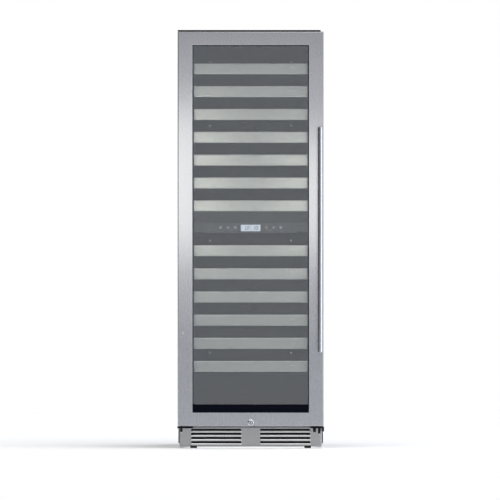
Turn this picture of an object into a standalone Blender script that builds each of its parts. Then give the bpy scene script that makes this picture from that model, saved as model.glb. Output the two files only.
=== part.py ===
"""Tall two-zone wine cooler with a framed glass door, thirteen sliding bottle shelves and a
stainless kick plate.

Metres, +Z up. The origin is on the floor under the middle of the object, the front faces -Y and
the door's handle is on the +X side.
"""

import math

import bmesh
import bpy
from mathutils import Matrix, Vector

GAP = 0.0003  # clearance kept between pieces that touch on the real object

# Depths, from the front of the handle to the back panel
HANDLE_FRONT = -0.365
DOOR_FRONT = -0.315
DOOR_BACK = -0.272
CASE_FRONT = -0.264
CASE_BACK = 0.365

# Heights above the floor
KICK_BOTTOM = 0.007
KICK_TOP = 0.084
DOOR_BOTTOM = 0.091
DOOR_TOP = 1.6985
CASE_BOTTOM = 0.0205
CASE_TOP = 1.701
FULL_HEIGHT = 1.706

# Widths
DOOR_HALF = 0.2975
CASE_HALF = 0.295
OVERALL_HALF = 0.2995

# Door
STILE = 0.0605
TOP_RAIL = 0.0545
BOTTOM_RAIL = 0.055
WINDOW_HALF = DOOR_HALF - STILE
WINDOW_LOW = DOOR_BOTTOM + BOTTOM_RAIL
WINDOW_HIGH = DOOR_TOP - TOP_RAIL
DOOR_SKIN = 0.0015
GLASS_THICK = 0.004
GLASS_OVERLAP = 0.0095
SPACER_DEPTH = 0.013
SPACER_LIP = 0.004
HINGE_X = -0.283
HINGE_Y = -0.293
PIN_RADIUS = 0.004
PIN_HOLE_RADIUS = 0.0046
GASKET_OUT = 0.281
GASKET_IN = 0.262

# Plates that carry the door's lower corners
BRACKET_FRONT = -0.3045
BRACKET_BACK = -0.2645
BRACKET_LOW = KICK_TOP + 0.0005
BRACKET_THICK = 0.004
BRACKET_LIP = 0.0025
STRIP_FRONT = -0.3005

# Handle
HANDLE_X = 0.2835
HANDLE_RADIUS = 0.0095
HANDLE_LOW = 0.393
HANDLE_HIGH = 1.309
POST_RADIUS = 0.007
POST_INSET = 0.042

# Lock in the door's bottom rail
LOCK_Z = 0.1055
LOCK_FACE_RADIUS = 0.0125
LOCK_TUBE_RADIUS = 0.0085
LOCK_BARREL_RADIUS = 0.006
CAM_FRONT = -0.2843
CAM_THICK = 0.0028
CAM_REACH = 0.026

# Inside of the cabinet
SHEET = 0.0012
INSIDE_HALF = 0.2495
FLOOR = 0.150
CEILING = 1.655
INSIDE_BACK = 0.2975
STEP_FRONT = 0.100
STEP_TOP = 0.298
LINER_WALL = 0.0025
FOAM_BOTTOM = 0.1055
MACHINE_FRONT = 0.150
MACHINE_TOP = 0.2555

# Shelves
UPPER_TOP = 1.573
UPPER_PITCH = 0.0934
UPPER_COUNT = 7
LOWER_TOP = 0.8295
LOWER_PITCH = 0.0946
LOWER_COUNT = 6
FASCIA_HEIGHT = 0.047
FASCIA_HALF = 0.2435
FASCIA_FRONT = -0.247
FASCIA_BACK = -0.235
RACK_FRONT = -0.2345
RACK_BACK = 0.250
RACK_HALF = 0.243
SIDE_BAR_WIDTH = 0.010
SIDE_BAR_HEIGHT = 0.012
CROSS_BAR_WIDTH = 0.008
BOTTLE_RADIUS = 0.038
BOTTLE_PITCH = 0.078
BOTTLES_PER_ROW = 6
CRADLE_LOW = 0.006
CRADLE_HIGH = 0.022
CRADLE_THICK = 0.006
CRADLES_AT = (-0.075, 0.085)
RIB_REACH = 0.014
RIB_HEIGHT = 0.006
RIB_DROP = 0.0005

# Divider between the zones, and the control panel under its front edge
DIVIDER_LOW = 0.8826
DIVIDER_SPLIT = 0.9203
DIVIDER_HIGH = 0.9652
DIVIDER_HALF = 0.2490
PANEL_FRONT = -0.249
DISPLAY_HALF = 0.040
DISPLAY_LOW = 0.886
DISPLAY_HIGH = 0.912

# Base
KICK_HALF = 0.2905
KICK_FRONT = -0.287
KICK_BACK = -0.2665
KICK_SKIN = 0.002
KICK_CORNER = 0.008
NOTCH_HALF = 0.0165
NOTCH_TOP = 0.0125
SLOT_COUNT = 4
SLOT_HEIGHT = 0.0069
SLOT_PITCH = 0.0171
SLOT_LENGTH = 0.2035
SLOT_INNER_X = 0.039
SLOT_FIRST_Z = 0.0251
CAM_SLOT_LEFT = -0.009
CAM_SLOT_RIGHT = 0.0175
FOOT_X = 0.233
FOOT_FRONT_Y = -0.235
FOOT_BACK_Y = 0.335
STEM_RADIUS = 0.005
INLET_X = -0.259
INLET_Z = 0.118
INLET_WIDTH = 0.030
INLET_HEIGHT = 0.022
INLET_DEPTH = 0.016

# Cooling
EVAPORATOR_FAN_Z = (1.33, 0.60)
EVAPORATOR_FAN_Y = 0.2665
EVAPORATOR_FAN_RADIUS = 0.047
DUCT_FRONT = 0.262
DUCT_HALF = 0.18
CONDENSER_FAN_X = 0.145
CONDENSER_FAN_Y = 0.262
CONDENSER_FAN_Z = 0.140
CONDENSER_FAN_RADIUS = 0.068

FINISHES = {
    "stainless": ((0.55, 0.56, 0.60), 0.32, 1.0),
    "bright_steel": ((0.72, 0.73, 0.75), 0.15, 1.0),
    "shelf_steel": ((0.50, 0.50, 0.49), 0.45, 0.9),
    "zinc": ((0.45, 0.46, 0.48), 0.40, 0.9),
    "black_paint": ((0.012, 0.012, 0.014), 0.50, 0.0),
    "rack_black": ((0.030, 0.030, 0.033), 0.45, 0.3),
    "liner_grey": ((0.10, 0.105, 0.11), 0.55, 0.0),
    "panel_grey": ((0.14, 0.145, 0.155), 0.35, 0.0),
    "foam": ((0.62, 0.55, 0.38), 0.90, 0.0),
    "rubber": ((0.030, 0.030, 0.032), 0.80, 0.0),
    "glass": ((0.60, 0.63, 0.66), 0.03, 0.0),
    "display": ((0.56, 0.64, 0.74), 0.20, 0.0),
    "fan_plastic": ((0.06, 0.06, 0.065), 0.50, 0.0),
}


# Scene and object helpers


def clear_scene():
    for thing in list(bpy.data.objects):
        bpy.data.objects.remove(thing, do_unlink=True)


def make_collection(name):
    made = bpy.data.collections.new(name)
    bpy.context.scene.collection.children.link(made)
    return made


clear_scene()
PARTS = make_collection("wine_cooler")
CUTTERS = make_collection("cutters")


def place_mesh(name, mesh, location, collection):
    placed = bpy.data.objects.new(name, mesh)
    placed.location = location
    collection.objects.link(placed)
    return placed


def hide_guide(guide):
    guide.hide_render = True
    guide.display_type = "WIRE"
    return guide


def finish(part, kind):
    """Gives the part its own Principled material of a named finish."""
    color, roughness, metallic = FINISHES[kind]
    material = bpy.data.materials.new(part.name)
    material.use_nodes = True
    shader = material.node_tree.nodes["Principled BSDF"]
    shader.inputs["Base Color"].default_value = (*color, 1.0)
    shader.inputs["Roughness"].default_value = roughness
    shader.inputs["Metallic"].default_value = metallic
    material.diffuse_color = (*color, 1.0)
    if part.data.materials:
        part.data.materials[0] = material
    else:
        part.data.materials.append(material)
    return part


def axis_empty(name, location):
    """An empty that stands for a joint: the pieces that it moves are its children."""
    empty = bpy.data.objects.new(name, None)
    empty.location = location
    empty.empty_display_size = 0.05
    PARTS.objects.link(empty)
    return empty


def hang_on(empty, parts):
    for part in parts:
        part.parent = empty
        part.matrix_parent_inverse = Matrix.Translation(-empty.location)


# Shape helpers


def box(name, low, high, collection=PARTS):
    low, high = Vector(low), Vector(high)
    mesh = bpy.data.meshes.new(name)
    shape = bmesh.new()
    bmesh.ops.create_cube(shape, size=1.0)
    bmesh.ops.scale(shape, vec=high - low, verts=shape.verts)
    shape.to_mesh(mesh)
    shape.free()
    return place_mesh(name, mesh, (low + high) / 2, collection)


def rod(name, start, end, radius, sides=20, collection=PARTS):
    """A cylinder between two points."""
    start, end = Vector(start), Vector(end)
    mesh = bpy.data.meshes.new(name)
    shape = bmesh.new()
    bmesh.ops.create_cone(
        shape,
        cap_ends=True,
        segments=sides,
        radius1=radius,
        radius2=radius,
        depth=(end - start).length,
    )
    turn = (end - start).to_track_quat("Z", "Y").to_matrix()
    bmesh.ops.rotate(shape, matrix=turn, verts=shape.verts)
    shape.to_mesh(mesh)
    shape.free()
    mesh.shade_smooth()
    mesh.set_sharp_from_angle(angle=math.radians(40))
    return place_mesh(name, mesh, (start + end) / 2, collection)


def turned(name, profile, location, steps=20):
    """A profile of (radius, height) points, top to bottom, turned about +Z."""
    mesh = bpy.data.meshes.new(name)
    shape = bmesh.new()
    points = [shape.verts.new((radius, 0.0, height)) for radius, height in profile]
    for upper, lower in zip(points, points[1:]):
        shape.edges.new((upper, lower))
    shape.to_mesh(mesh)
    shape.free()
    made = place_mesh(name, mesh, location, PARTS)
    screw = made.modifiers.new("turned", "SCREW")
    screw.steps = steps
    screw.render_steps = steps
    screw.use_merge_vertices = True
    screw.merge_threshold = 0.00005
    return made


def slab(name, outline, thickness, frame, collection=PARTS):
    """A flat outline made solid: frame turns the outline's plane and the thickness's middle into
    place."""
    curve = bpy.data.curves.new(name, "CURVE")
    curve.dimensions = "2D"
    curve.fill_mode = "BOTH"
    curve.extrude = thickness / 2
    spline = curve.splines.new("POLY")
    spline.points.add(len(outline) - 1)
    for point, (u, v) in zip(spline.points, outline):
        point.co = (u, v, 0.0, 1.0)
    spline.use_cyclic_u = True
    drawn = bpy.data.objects.new(name + "_outline", curve)
    CUTTERS.objects.link(drawn)
    drawn.matrix_world = frame
    bpy.context.view_layer.update()
    made = meshed(name, drawn, collection)
    bpy.data.objects.remove(drawn)
    return made


def meshed(name, source, collection):
    """The evaluated shape of an object as a welded mesh object of its own."""
    evaluated = source.evaluated_get(bpy.context.evaluated_depsgraph_get())
    mesh = bpy.data.meshes.new_from_object(evaluated)
    mesh.name = name
    shape = bmesh.new()
    shape.from_mesh(mesh)
    bmesh.ops.remove_doubles(shape, verts=shape.verts, dist=0.00002)
    bmesh.ops.recalc_face_normals(shape, faces=shape.faces)
    shape.to_mesh(mesh)
    shape.free()
    made = bpy.data.objects.new(name, mesh)
    made.matrix_world = source.matrix_world
    collection.objects.link(made)
    return made


def side_view(x):
    """Frame for an outline of (y, z) points, lying across X at x."""
    turn = Matrix(((0, 0, 1), (1, 0, 0), (0, 1, 0))).to_4x4()
    return Matrix.Translation((x, 0, 0)) @ turn


def front_view(y):
    """Frame for an outline of (x, z) points, lying across Y at y."""
    turn = Matrix(((1, 0, 0), (0, 0, -1), (0, 1, 0))).to_4x4()
    return Matrix.Translation((0, y, 0)) @ turn


def plan_view(z):
    """Frame for an outline of (x, y) points, lying flat at z."""
    return Matrix.Translation((0, 0, z))


def combine(part, other, operation):
    hide_guide(other)
    step = part.modifiers.new(operation.lower(), "BOOLEAN")
    step.operation = operation
    step.object = other
    step.solver = "EXACT"


def cut(part, *cutters):
    for cutter in cutters:
        combine(part, cutter, "DIFFERENCE")
    return part


def join(part, *others):
    for other in others:
        combine(part, other, "UNION")
    return part


def cut_box(part, low, high):
    return cut(part, box(part.name + "_cut", low, high, CUTTERS))


def cut_hole(part, start, end, radius, sides=20):
    return cut(part, rod(part.name + "_hole", start, end, radius, sides, CUTTERS))


def join_box(part, low, high):
    return join(part, box(part.name + "_add", low, high, CUTTERS))


def join_rod(part, start, end, radius, sides=20):
    return join(part, rod(part.name + "_add", start, end, radius, sides, CUTTERS))


def many_boxes(name, corners):
    """One guide object that holds a box for each pair of corners."""
    mesh = bpy.data.meshes.new(name)
    shape = bmesh.new()
    for low, high in corners:
        low, high = Vector(low), Vector(high)
        made = bmesh.ops.create_cube(shape, size=1.0)
        bmesh.ops.scale(shape, vec=high - low, verts=made["verts"])
        bmesh.ops.translate(shape, vec=(low + high) / 2, verts=made["verts"])
    shape.to_mesh(mesh)
    shape.free()
    return place_mesh(name, mesh, (0, 0, 0), CUTTERS)


def arc(center, radius, start, end, steps):
    """Points on an arc, its ends included; angles in degrees."""
    points = []
    for step in range(steps + 1):
        angle = math.radians(start + (end - start) * step / steps)
        x = center[0] + radius * math.cos(angle)
        y = center[1] + radius * math.sin(angle)
        points.append((x, y))
    return points


# Cabinet


def make_case_wrapper():
    """The steel sides, top and front flange, folded from one sheet and open at the back."""
    case = box(
        "case_wrapper",
        (-CASE_HALF, CASE_FRONT, CASE_BOTTOM),
        (CASE_HALF, CASE_BACK - 0.0015, CASE_TOP),
    )
    inner = CASE_HALF - SHEET
    cut_box(case, (-inner, CASE_FRONT + SHEET, -0.05), (inner, 0.45, CASE_TOP - SHEET))
    edge = INSIDE_HALF + LINER_WALL + GAP
    low, high = FLOOR - LINER_WALL - GAP, CEILING + LINER_WALL + GAP
    cut_box(case, (-edge, CASE_FRONT - 0.01, low), (edge, -0.25, high))
    cut_box(case, (-inner, CASE_FRONT - 0.01, -0.05), (inner, -0.25, 0.100))
    return finish(case, "black_paint")


def add_inlet(panel):
    """Recessed mains inlet in the sheet's lower corner: a cup with three blades in it."""
    wall = 0.002
    back = CASE_BACK - 0.0005
    low = Vector((INLET_X - INLET_WIDTH / 2, back - INLET_DEPTH, INLET_Z - INLET_HEIGHT / 2))
    high = Vector((INLET_X + INLET_WIDTH / 2, back, INLET_Z + INLET_HEIGHT / 2))
    join_box(panel, low, high)
    inset = Vector((wall, wall, wall))
    cut_box(panel, low + inset, high - Vector((wall, -0.01, wall)))
    for across, up in ((-0.007, -0.002), (0.0, 0.004), (0.007, -0.002)):
        x, z = INLET_X + across, INLET_Z + up
        blade_low = (x - 0.001, low.y + wall / 2, z - 0.002)
        join_box(panel, blade_low, (x + 0.001, back - 0.003, z + 0.002))


def make_back_panel():
    """Flat rear sheet with two columns of vent slots over the machine compartment."""
    panel = box(
        "back_panel",
        (-CASE_HALF + 0.0005, CASE_BACK - 0.001, CASE_BOTTOM + 0.001),
        (CASE_HALF - 0.0005, CASE_BACK, CASE_TOP - 0.0005),
    )
    slots = []
    for side in (-1, 1):
        for row in range(8):
            z = 0.112 + 0.016 * row
            middle = side * 0.135
            low = (middle - 0.095, CASE_BACK - 0.01, z)
            slots.append((low, (middle + 0.095, CASE_BACK + 0.01, z + 0.006)))
    cut(panel, many_boxes("back_panel_slots", slots))
    add_inlet(panel)
    return finish(panel, "zinc")


def make_base_plate():
    """Pan that carries the feet, the hinge plates and the compressor."""
    half = CASE_HALF - SHEET - 0.0004
    front, back = CASE_FRONT + 0.0016, CASE_BACK - 0.002
    pan = box("base_plate", (-half, front, CASE_BOTTOM), (half, back, 0.098))
    wall = 0.0015
    floor = CASE_BOTTOM + 0.002
    cut_box(pan, (-half + wall, front + wall, floor), (half - wall, back - wall, 0.2))
    windows = []
    for low, high in ((-0.225, -0.045), (0.045, 0.225)):
        windows.append(((low, front - 0.01, 0.035), (high, front + 0.01, 0.078)))
    cut(pan, many_boxes("base_plate_windows", windows))
    for x, y in foot_places():
        cut_hole(pan, (x, y, 0.0), (x, y, 0.04), STEM_RADIUS + 0.0006, 12)
    return finish(pan, "zinc")


def liner_outline(grow, front):
    """Side view of the cold space, with the step over the machine compartment."""
    return [
        (front, FLOOR - grow),
        (STEP_FRONT + grow, FLOOR - grow),
        (STEP_FRONT + grow, STEP_TOP - grow),
        (INSIDE_BACK + grow, STEP_TOP - grow),
        (INSIDE_BACK + grow, CEILING + grow),
        (front, CEILING + grow),
    ]


def liner_block(name, grow, front, collection=CUTTERS):
    width = 2 * (INSIDE_HALF + grow)
    return slab(name, liner_outline(grow, front), width, side_view(0), collection)


def make_insulation():
    half = CASE_HALF - SHEET - GAP
    foam = box(
        "insulation_foam",
        (-half, CASE_FRONT + SHEET + GAP, FOAM_BOTTOM),
        (half, CASE_BACK - 0.002, CASE_TOP - SHEET - GAP),
    )
    cut(foam, liner_block("foam_hollow", LINER_WALL + GAP, -0.30))
    cut_box(foam, (-0.4, MACHINE_FRONT, 0.0), (0.4, 0.45, MACHINE_TOP))
    return finish(foam, "foam")


def make_inner_liner():
    """Moulded liner, open at the front, with a pair of ribs under each shelf."""
    liner = liner_block("inner_liner", LINER_WALL, CASE_FRONT, PARTS)
    cut(liner, liner_block("liner_hollow", 0.0, -0.30))
    ribs = []
    for number, bottom in shelf_levels():
        if number == UPPER_COUNT:
            continue  # the lowest shelf of the upper zone runs on the divider
        top = bottom - RIB_DROP
        for side in (-1, 1):
            across = sorted((side * (INSIDE_HALF - RIB_REACH), side * (INSIDE_HALF + 0.0012)))
            low = (across[0], CASE_FRONT + 0.004, top - RIB_HEIGHT)
            ribs.append((low, (across[1], INSIDE_BACK - 0.04, top)))
    join(liner, many_boxes("liner_ribs", ribs))
    return finish(liner, "liner_grey")


def make_zone_divider():
    """Hollow shelf between the zones, open underneath; its front lip hangs over the panel."""
    divider = box(
        "zone_divider",
        (-DIVIDER_HALF, FASCIA_FRONT + 0.0085, DIVIDER_LOW),
        (DIVIDER_HALF, INSIDE_BACK - 0.0005, DIVIDER_HIGH),
    )
    low = (-FASCIA_HALF, FASCIA_FRONT, DIVIDER_SPLIT + GAP)
    join_box(divider, low, (FASCIA_HALF, FASCIA_FRONT + 0.010, DIVIDER_HIGH - 0.0002))
    wall = 0.003
    inner = DIVIDER_HALF - wall
    low = (-inner, FASCIA_FRONT + 0.0085 + wall, DIVIDER_LOW - 0.01)
    cut_box(divider, low, (inner, INSIDE_BACK - wall, DIVIDER_HIGH - wall))
    return finish(divider, "liner_grey")


def make_control_panel():
    panel = box(
        "control_panel",
        (-FASCIA_HALF, PANEL_FRONT, DIVIDER_LOW),
        (FASCIA_HALF, FASCIA_FRONT + 0.008, DIVIDER_SPLIT - GAP),
    )
    margin = GAP
    low = (-DISPLAY_HALF - margin, PANEL_FRONT - 0.01, DISPLAY_LOW - margin)
    cut_box(panel, low, (DISPLAY_HALF + margin, PANEL_FRONT + 0.003, DISPLAY_HIGH + margin))
    return finish(panel, "panel_grey")


def make_display():
    window = box(
        "display_window",
        (-DISPLAY_HALF, PANEL_FRONT - 0.0005, DISPLAY_LOW),
        (DISPLAY_HALF, PANEL_FRONT + 0.0027, DISPLAY_HIGH),
    )
    return finish(window, "display")


def air_duct(name, low_z, high_z, fan_z):
    """Open-backed cover on the rear wall, with a fan grille of four sectors and outlet slots."""
    back = INSIDE_BACK - 0.0005
    cover = box(name, (-DUCT_HALF, DUCT_FRONT, low_z), (DUCT_HALF, back, high_z))
    wall = 0.002
    low = (-DUCT_HALF + wall, DUCT_FRONT + wall, low_z + wall)
    cut_box(cover, low, (DUCT_HALF - wall, back + 0.01, high_z - wall))
    for quarter in range(4):
        start = 90 * quarter + 8
        outline = arc((0, fan_z), EVAPORATOR_FAN_RADIUS, start, start + 74, 5)
        outline += arc((0, fan_z), 0.018, start + 64, start + 10, 2)
        frame = front_view(DUCT_FRONT)
        cut(cover, slab(name + "_sector", outline, 0.01, frame, CUTTERS))
    slots = []
    for side in (-1, 1):
        for z in (low_z + 0.03, low_z + 0.05, high_z - 0.036, high_z - 0.056):
            across = sorted((side * 0.05, side * 0.15))
            low = (across[0], DUCT_FRONT - 0.01, z)
            slots.append((low, (across[1], DUCT_FRONT + 0.01, z + 0.006)))
    cut(cover, many_boxes(name + "_slots", slots))
    return finish(cover, "liner_grey")


def fan(name, center, radius, depth, blades):
    """Axial fan about Y: a hub and twisted blades, its origin on its shaft."""
    hub_radius = 0.3 * radius
    hub_end = (center[0], center[1] + depth, center[2])
    wheel = rod(name, center, hub_end, hub_radius, 16)
    mesh = bpy.data.meshes.new(name + "_blades")
    shape = bmesh.new()
    length = radius - 0.8 * hub_radius
    for number in range(blades):
        made = bmesh.ops.create_cube(shape, size=1.0)
        turn = Matrix.Rotation(2 * math.pi * number / blades, 4, "Y")
        slide = Matrix.Translation((0.8 * hub_radius + length / 2, 0, 0))
        twist = Matrix.Rotation(math.radians(38), 4, "X")
        size = Matrix.Diagonal((length, 0.0022, 0.62 * radius, 1))
        matrix = turn @ slide @ twist @ size
        bmesh.ops.transform(shape, matrix=matrix, verts=made["verts"])
    shape.to_mesh(mesh)
    shape.free()
    middle = (center[0], center[1] + depth / 2, center[2])
    join(wheel, place_mesh(name + "_blades", mesh, middle, CUTTERS))
    return finish(wheel, "fan_plastic")


def make_cooling():
    top_z, low_z = EVAPORATOR_FAN_Z
    air_duct("air_duct_upper", 1.05, 1.60, top_z)
    air_duct("air_duct_lower", 0.37, 0.86, low_z)
    radius = EVAPORATOR_FAN_RADIUS - 0.002
    fan("evaporator_fan_upper", (0, EVAPORATOR_FAN_Y, top_z), radius, 0.019, 7)
    fan("evaporator_fan_lower", (0, EVAPORATOR_FAN_Y, low_z), radius, 0.019, 7)
    center = (CONDENSER_FAN_X, CONDENSER_FAN_Y, CONDENSER_FAN_Z)
    fan("condenser_fan", center, CONDENSER_FAN_RADIUS, 0.026, 5)
    make_compressor()
    make_condenser()


def make_compressor():
    """Hermetic shell on its foot plate, on the left of the machine compartment."""
    x, y, bottom = -0.13, 0.262, CASE_BOTTOM + 0.0025
    radius = 0.078
    shell = turned(
        "compressor",
        [
            (0.0, 0.196),
            (0.030, 0.193),
            (0.058, 0.180),
            (radius, 0.150),
            (radius, 0.105),
            (radius + 0.003, 0.104),
            (radius + 0.003, 0.096),
            (radius, 0.095),
            (radius, 0.045),
            (0.060, 0.018),
            (0.0, 0.012),
        ],
        (x, y, bottom),
    )
    foot_low = (x - 0.095, y - 0.062, bottom)
    join_box(shell, foot_low, (x + 0.095, y + 0.062, bottom + 0.020))
    for side in (-1, 1):
        cut_box(
            shell,
            (x + side * 0.040 - 0.036, y - 0.07, bottom - 0.01),
            (x + side * 0.040 + 0.036, y + 0.07, bottom + 0.009),
        )
    return finish(shell, "black_paint")


def make_condenser():
    """Fin block across the machine compartment, with the boss that carries its fan."""
    left, right, low, high = 0.045, 0.265, 0.026, 0.235
    front, back = 0.175, 0.225
    block = box("condenser", (left, front + 0.008, low), (right, back - 0.008, high))
    fins = []
    count = 14
    for number in range(count):
        z = low + 0.006 + (high - low - 0.014) * number / (count - 1)
        fins.append(((left - 0.004, front, z), (right + 0.004, back, z + 0.002)))
    join(block, many_boxes("condenser_fins", fins))
    boss_start = (CONDENSER_FAN_X, back - 0.012, CONDENSER_FAN_Z)
    boss_end = (CONDENSER_FAN_X, CONDENSER_FAN_Y - 0.001, CONDENSER_FAN_Z)
    join_rod(block, boss_start, boss_end, 0.016, 12)
    return finish(block, "zinc")


# Door


def frame_box(name, half, low_z, high_z, front, back, hole_half, hole_low, hole_high):
    """A rectangular ring in the plane of the door."""
    ring = box(name, (-half, front, low_z), (half, back, high_z))
    low = (-hole_half, front - 0.01, hole_low)
    return cut_box(ring, low, (hole_half, back + 0.01, hole_high))


def cut_pin_and_lock(part):
    """Holes for the two hinge pins, for the lock's tube, and the slot that its cam swings in."""
    low_pin = (HINGE_X, HINGE_Y, DOOR_BOTTOM - 0.01)
    cut_hole(part, low_pin, (HINGE_X, HINGE_Y, DOOR_BOTTOM + 0.018), PIN_HOLE_RADIUS, 16)
    high_pin = (HINGE_X, HINGE_Y, DOOR_TOP - 0.018)
    cut_hole(part, high_pin, (HINGE_X, HINGE_Y, DOOR_TOP + 0.01), PIN_HOLE_RADIUS, 16)
    start = (0, DOOR_FRONT - 0.01, LOCK_Z)
    cut_hole(part, start, (0, CAM_FRONT + 0.001, LOCK_Z), LOCK_TUBE_RADIUS + GAP)
    low = (-0.012, CAM_FRONT - 0.0005, DOOR_BOTTOM - 0.01)
    cut_box(part, low, (CAM_REACH + 0.004, CAM_FRONT + 0.0065, LOCK_Z + 0.0135))


def make_door_frame():
    """Stainless skin: the front face and its folded sides, open at the back."""
    low = (-DOOR_HALF, DOOR_FRONT, DOOR_BOTTOM)
    skin = box("door_frame", low, (DOOR_HALF, DOOR_BACK, DOOR_TOP))
    side = DOOR_HALF - DOOR_SKIN
    low = (-side, DOOR_FRONT + DOOR_SKIN, DOOR_BOTTOM + DOOR_SKIN)
    cut_box(skin, low, (side, DOOR_BACK + 0.01, DOOR_TOP - DOOR_SKIN))
    low = (-WINDOW_HALF, DOOR_FRONT - 0.01, WINDOW_LOW)
    cut_box(skin, low, (WINDOW_HALF, DOOR_FRONT + 0.01, WINDOW_HIGH))
    cut_pin_and_lock(skin)
    return finish(skin, "stainless")


def glass_depths():
    """Front and back of the outer pane, the spacer and the inner pane."""
    outer = DOOR_FRONT + DOOR_SKIN + 2 * GAP
    spacer = outer + GLASS_THICK + GAP
    inner = spacer + SPACER_DEPTH + GAP
    return (
        (outer, outer + GLASS_THICK),
        (spacer, spacer + SPACER_DEPTH),
        (inner, inner + GLASS_THICK),
    )


def make_door_core():
    """Insulated ring inside the skin, rebated for the glass; its back lip holds the panes in."""
    clear = DOOR_SKIN + GAP
    core = frame_box(
        "door_core",
        DOOR_HALF - clear,
        DOOR_BOTTOM + clear,
        DOOR_TOP - clear,
        DOOR_FRONT + clear,
        DOOR_BACK - GAP,
        WINDOW_HALF,
        WINDOW_LOW,
        WINDOW_HIGH,
    )
    reach = GLASS_OVERLAP + GAP
    low = (-WINDOW_HALF - reach, DOOR_FRONT, WINDOW_LOW - reach)
    high = (WINDOW_HALF + reach, glass_depths()[2][1] + GAP, WINDOW_HIGH + reach)
    cut_box(core, low, high)
    cut_pin_and_lock(core)
    return finish(core, "liner_grey")


def make_glass():
    half = WINDOW_HALF + GLASS_OVERLAP
    low_z, high_z = WINDOW_LOW - GLASS_OVERLAP, WINDOW_HIGH + GLASS_OVERLAP
    outer, spacer, inner = glass_depths()
    panes = []
    for name, (front, back) in (("outer_glass", outer), ("inner_glass", inner)):
        pane = box(name, (-half, front, low_z), (half, back, high_z))
        panes.append(finish(pane, "glass"))
    ring = frame_box(
        "glass_spacer",
        half - 0.003,
        low_z + 0.003,
        high_z - 0.003,
        spacer[0],
        spacer[1],
        WINDOW_HALF - SPACER_LIP,
        WINDOW_LOW + SPACER_LIP,
        WINDOW_HIGH - SPACER_LIP,
    )
    panes.append(finish(ring, "black_paint"))
    return panes


def make_gasket():
    margin = GASKET_OUT - GASKET_IN
    low_z, high_z = FLOOR - 0.0305, CEILING + 0.0305
    gasket = frame_box(
        "door_gasket",
        GASKET_OUT,
        low_z,
        high_z,
        DOOR_BACK + GAP,
        CASE_FRONT - GAP,
        GASKET_IN,
        low_z + margin,
        high_z - margin,
    )
    return finish(gasket, "rubber")


def make_handle():
    """Round bar on two posts whose ends are hollowed to fit it."""
    axis_y = HANDLE_FRONT + HANDLE_RADIUS
    length = HANDLE_HIGH - HANDLE_LOW
    edge = 0.0012
    bar = turned(
        "handle_bar",
        [
            (0.0, length),
            (HANDLE_RADIUS - edge, length),
            (HANDLE_RADIUS, length - edge),
            (HANDLE_RADIUS, edge),
            (HANDLE_RADIUS - edge, 0.0),
            (0.0, 0.0),
        ],
        (HANDLE_X, axis_y, HANDLE_LOW),
    )
    pieces = [finish(bar, "stainless")]
    heights = (
        ("handle_post_upper", HANDLE_HIGH - POST_INSET),
        ("handle_post_lower", HANDLE_LOW + POST_INSET),
    )
    for name, z in heights:
        start = (HANDLE_X, DOOR_FRONT - GAP, z)
        end = (HANDLE_X, axis_y + 0.006, z)
        post = rod(name, start, end, POST_RADIUS, 16)
        low, high = (HANDLE_X, axis_y, z - 0.02), (HANDLE_X, axis_y, z + 0.02)
        cut_hole(post, low, high, HANDLE_RADIUS + GAP, 20)
        pieces.append(finish(post, "stainless"))
    return pieces


def make_lock():
    """Escutcheon with its tube, and the barrel with keyway and cam that turns inside it."""
    face_back = DOOR_FRONT - GAP
    face_front = face_back - 0.0027
    housing = rod(
        "lock_housing",
        (0, face_front, LOCK_Z),
        (0, face_back, LOCK_Z),
        LOCK_FACE_RADIUS,
        28,
    )
    start, end = (0, face_front + 0.001, LOCK_Z), (0, CAM_FRONT - 0.001, LOCK_Z)
    join_rod(housing, start, end, LOCK_TUBE_RADIUS)
    start, end = (0, face_front - 0.01, LOCK_Z), (0, CAM_FRONT + 0.01, LOCK_Z)
    cut_hole(housing, start, end, LOCK_BARREL_RADIUS + GAP, 20)
    finish(housing, "bright_steel")
    start, end = (0, face_front + 0.0005, LOCK_Z), (0, CAM_FRONT + 0.001, LOCK_Z)
    barrel = rod("lock_barrel", start, end, LOCK_BARREL_RADIUS - 0.0002, 20)
    low = (-0.007, CAM_FRONT, LOCK_Z - 0.006)
    join_box(barrel, low, (CAM_REACH, CAM_FRONT + CAM_THICK, LOCK_Z + 0.006))
    low = (-0.0009, face_front - 0.01, LOCK_Z - 0.0042)
    cut_box(barrel, low, (0.0009, face_front + 0.006, LOCK_Z + 0.0042))
    finish(barrel, "bright_steel")
    return housing, barrel


def make_door():
    hinge = axis_empty("door_hinge_axis", (HINGE_X, HINGE_Y, DOOR_BOTTOM))
    housing, barrel = make_lock()
    pieces = [make_door_frame(), make_door_core(), make_gasket(), housing]
    pieces += make_glass()
    pieces += make_handle()
    hang_on(hinge, pieces)
    key_axis = axis_empty("lock_axis", (0, DOOR_FRONT, LOCK_Z))
    hang_on(hinge, [key_axis])
    bpy.context.view_layer.update()
    barrel.parent = key_axis
    barrel.matrix_parent_inverse = key_axis.matrix_world.inverted()


# Hinges and brackets


def corner_plate(name, left, right):
    """Flat plate under a corner of the door, its front edge folded down a little."""
    high = (right, BRACKET_BACK, BRACKET_LOW + BRACKET_THICK)
    plate = box(name, (left, BRACKET_FRONT, BRACKET_LOW), high)
    lip_low = (left, BRACKET_FRONT, BRACKET_LOW - BRACKET_LIP)
    join_box(plate, lip_low, (right, BRACKET_FRONT + 0.002, BRACKET_LOW + 0.002))
    return plate


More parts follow.
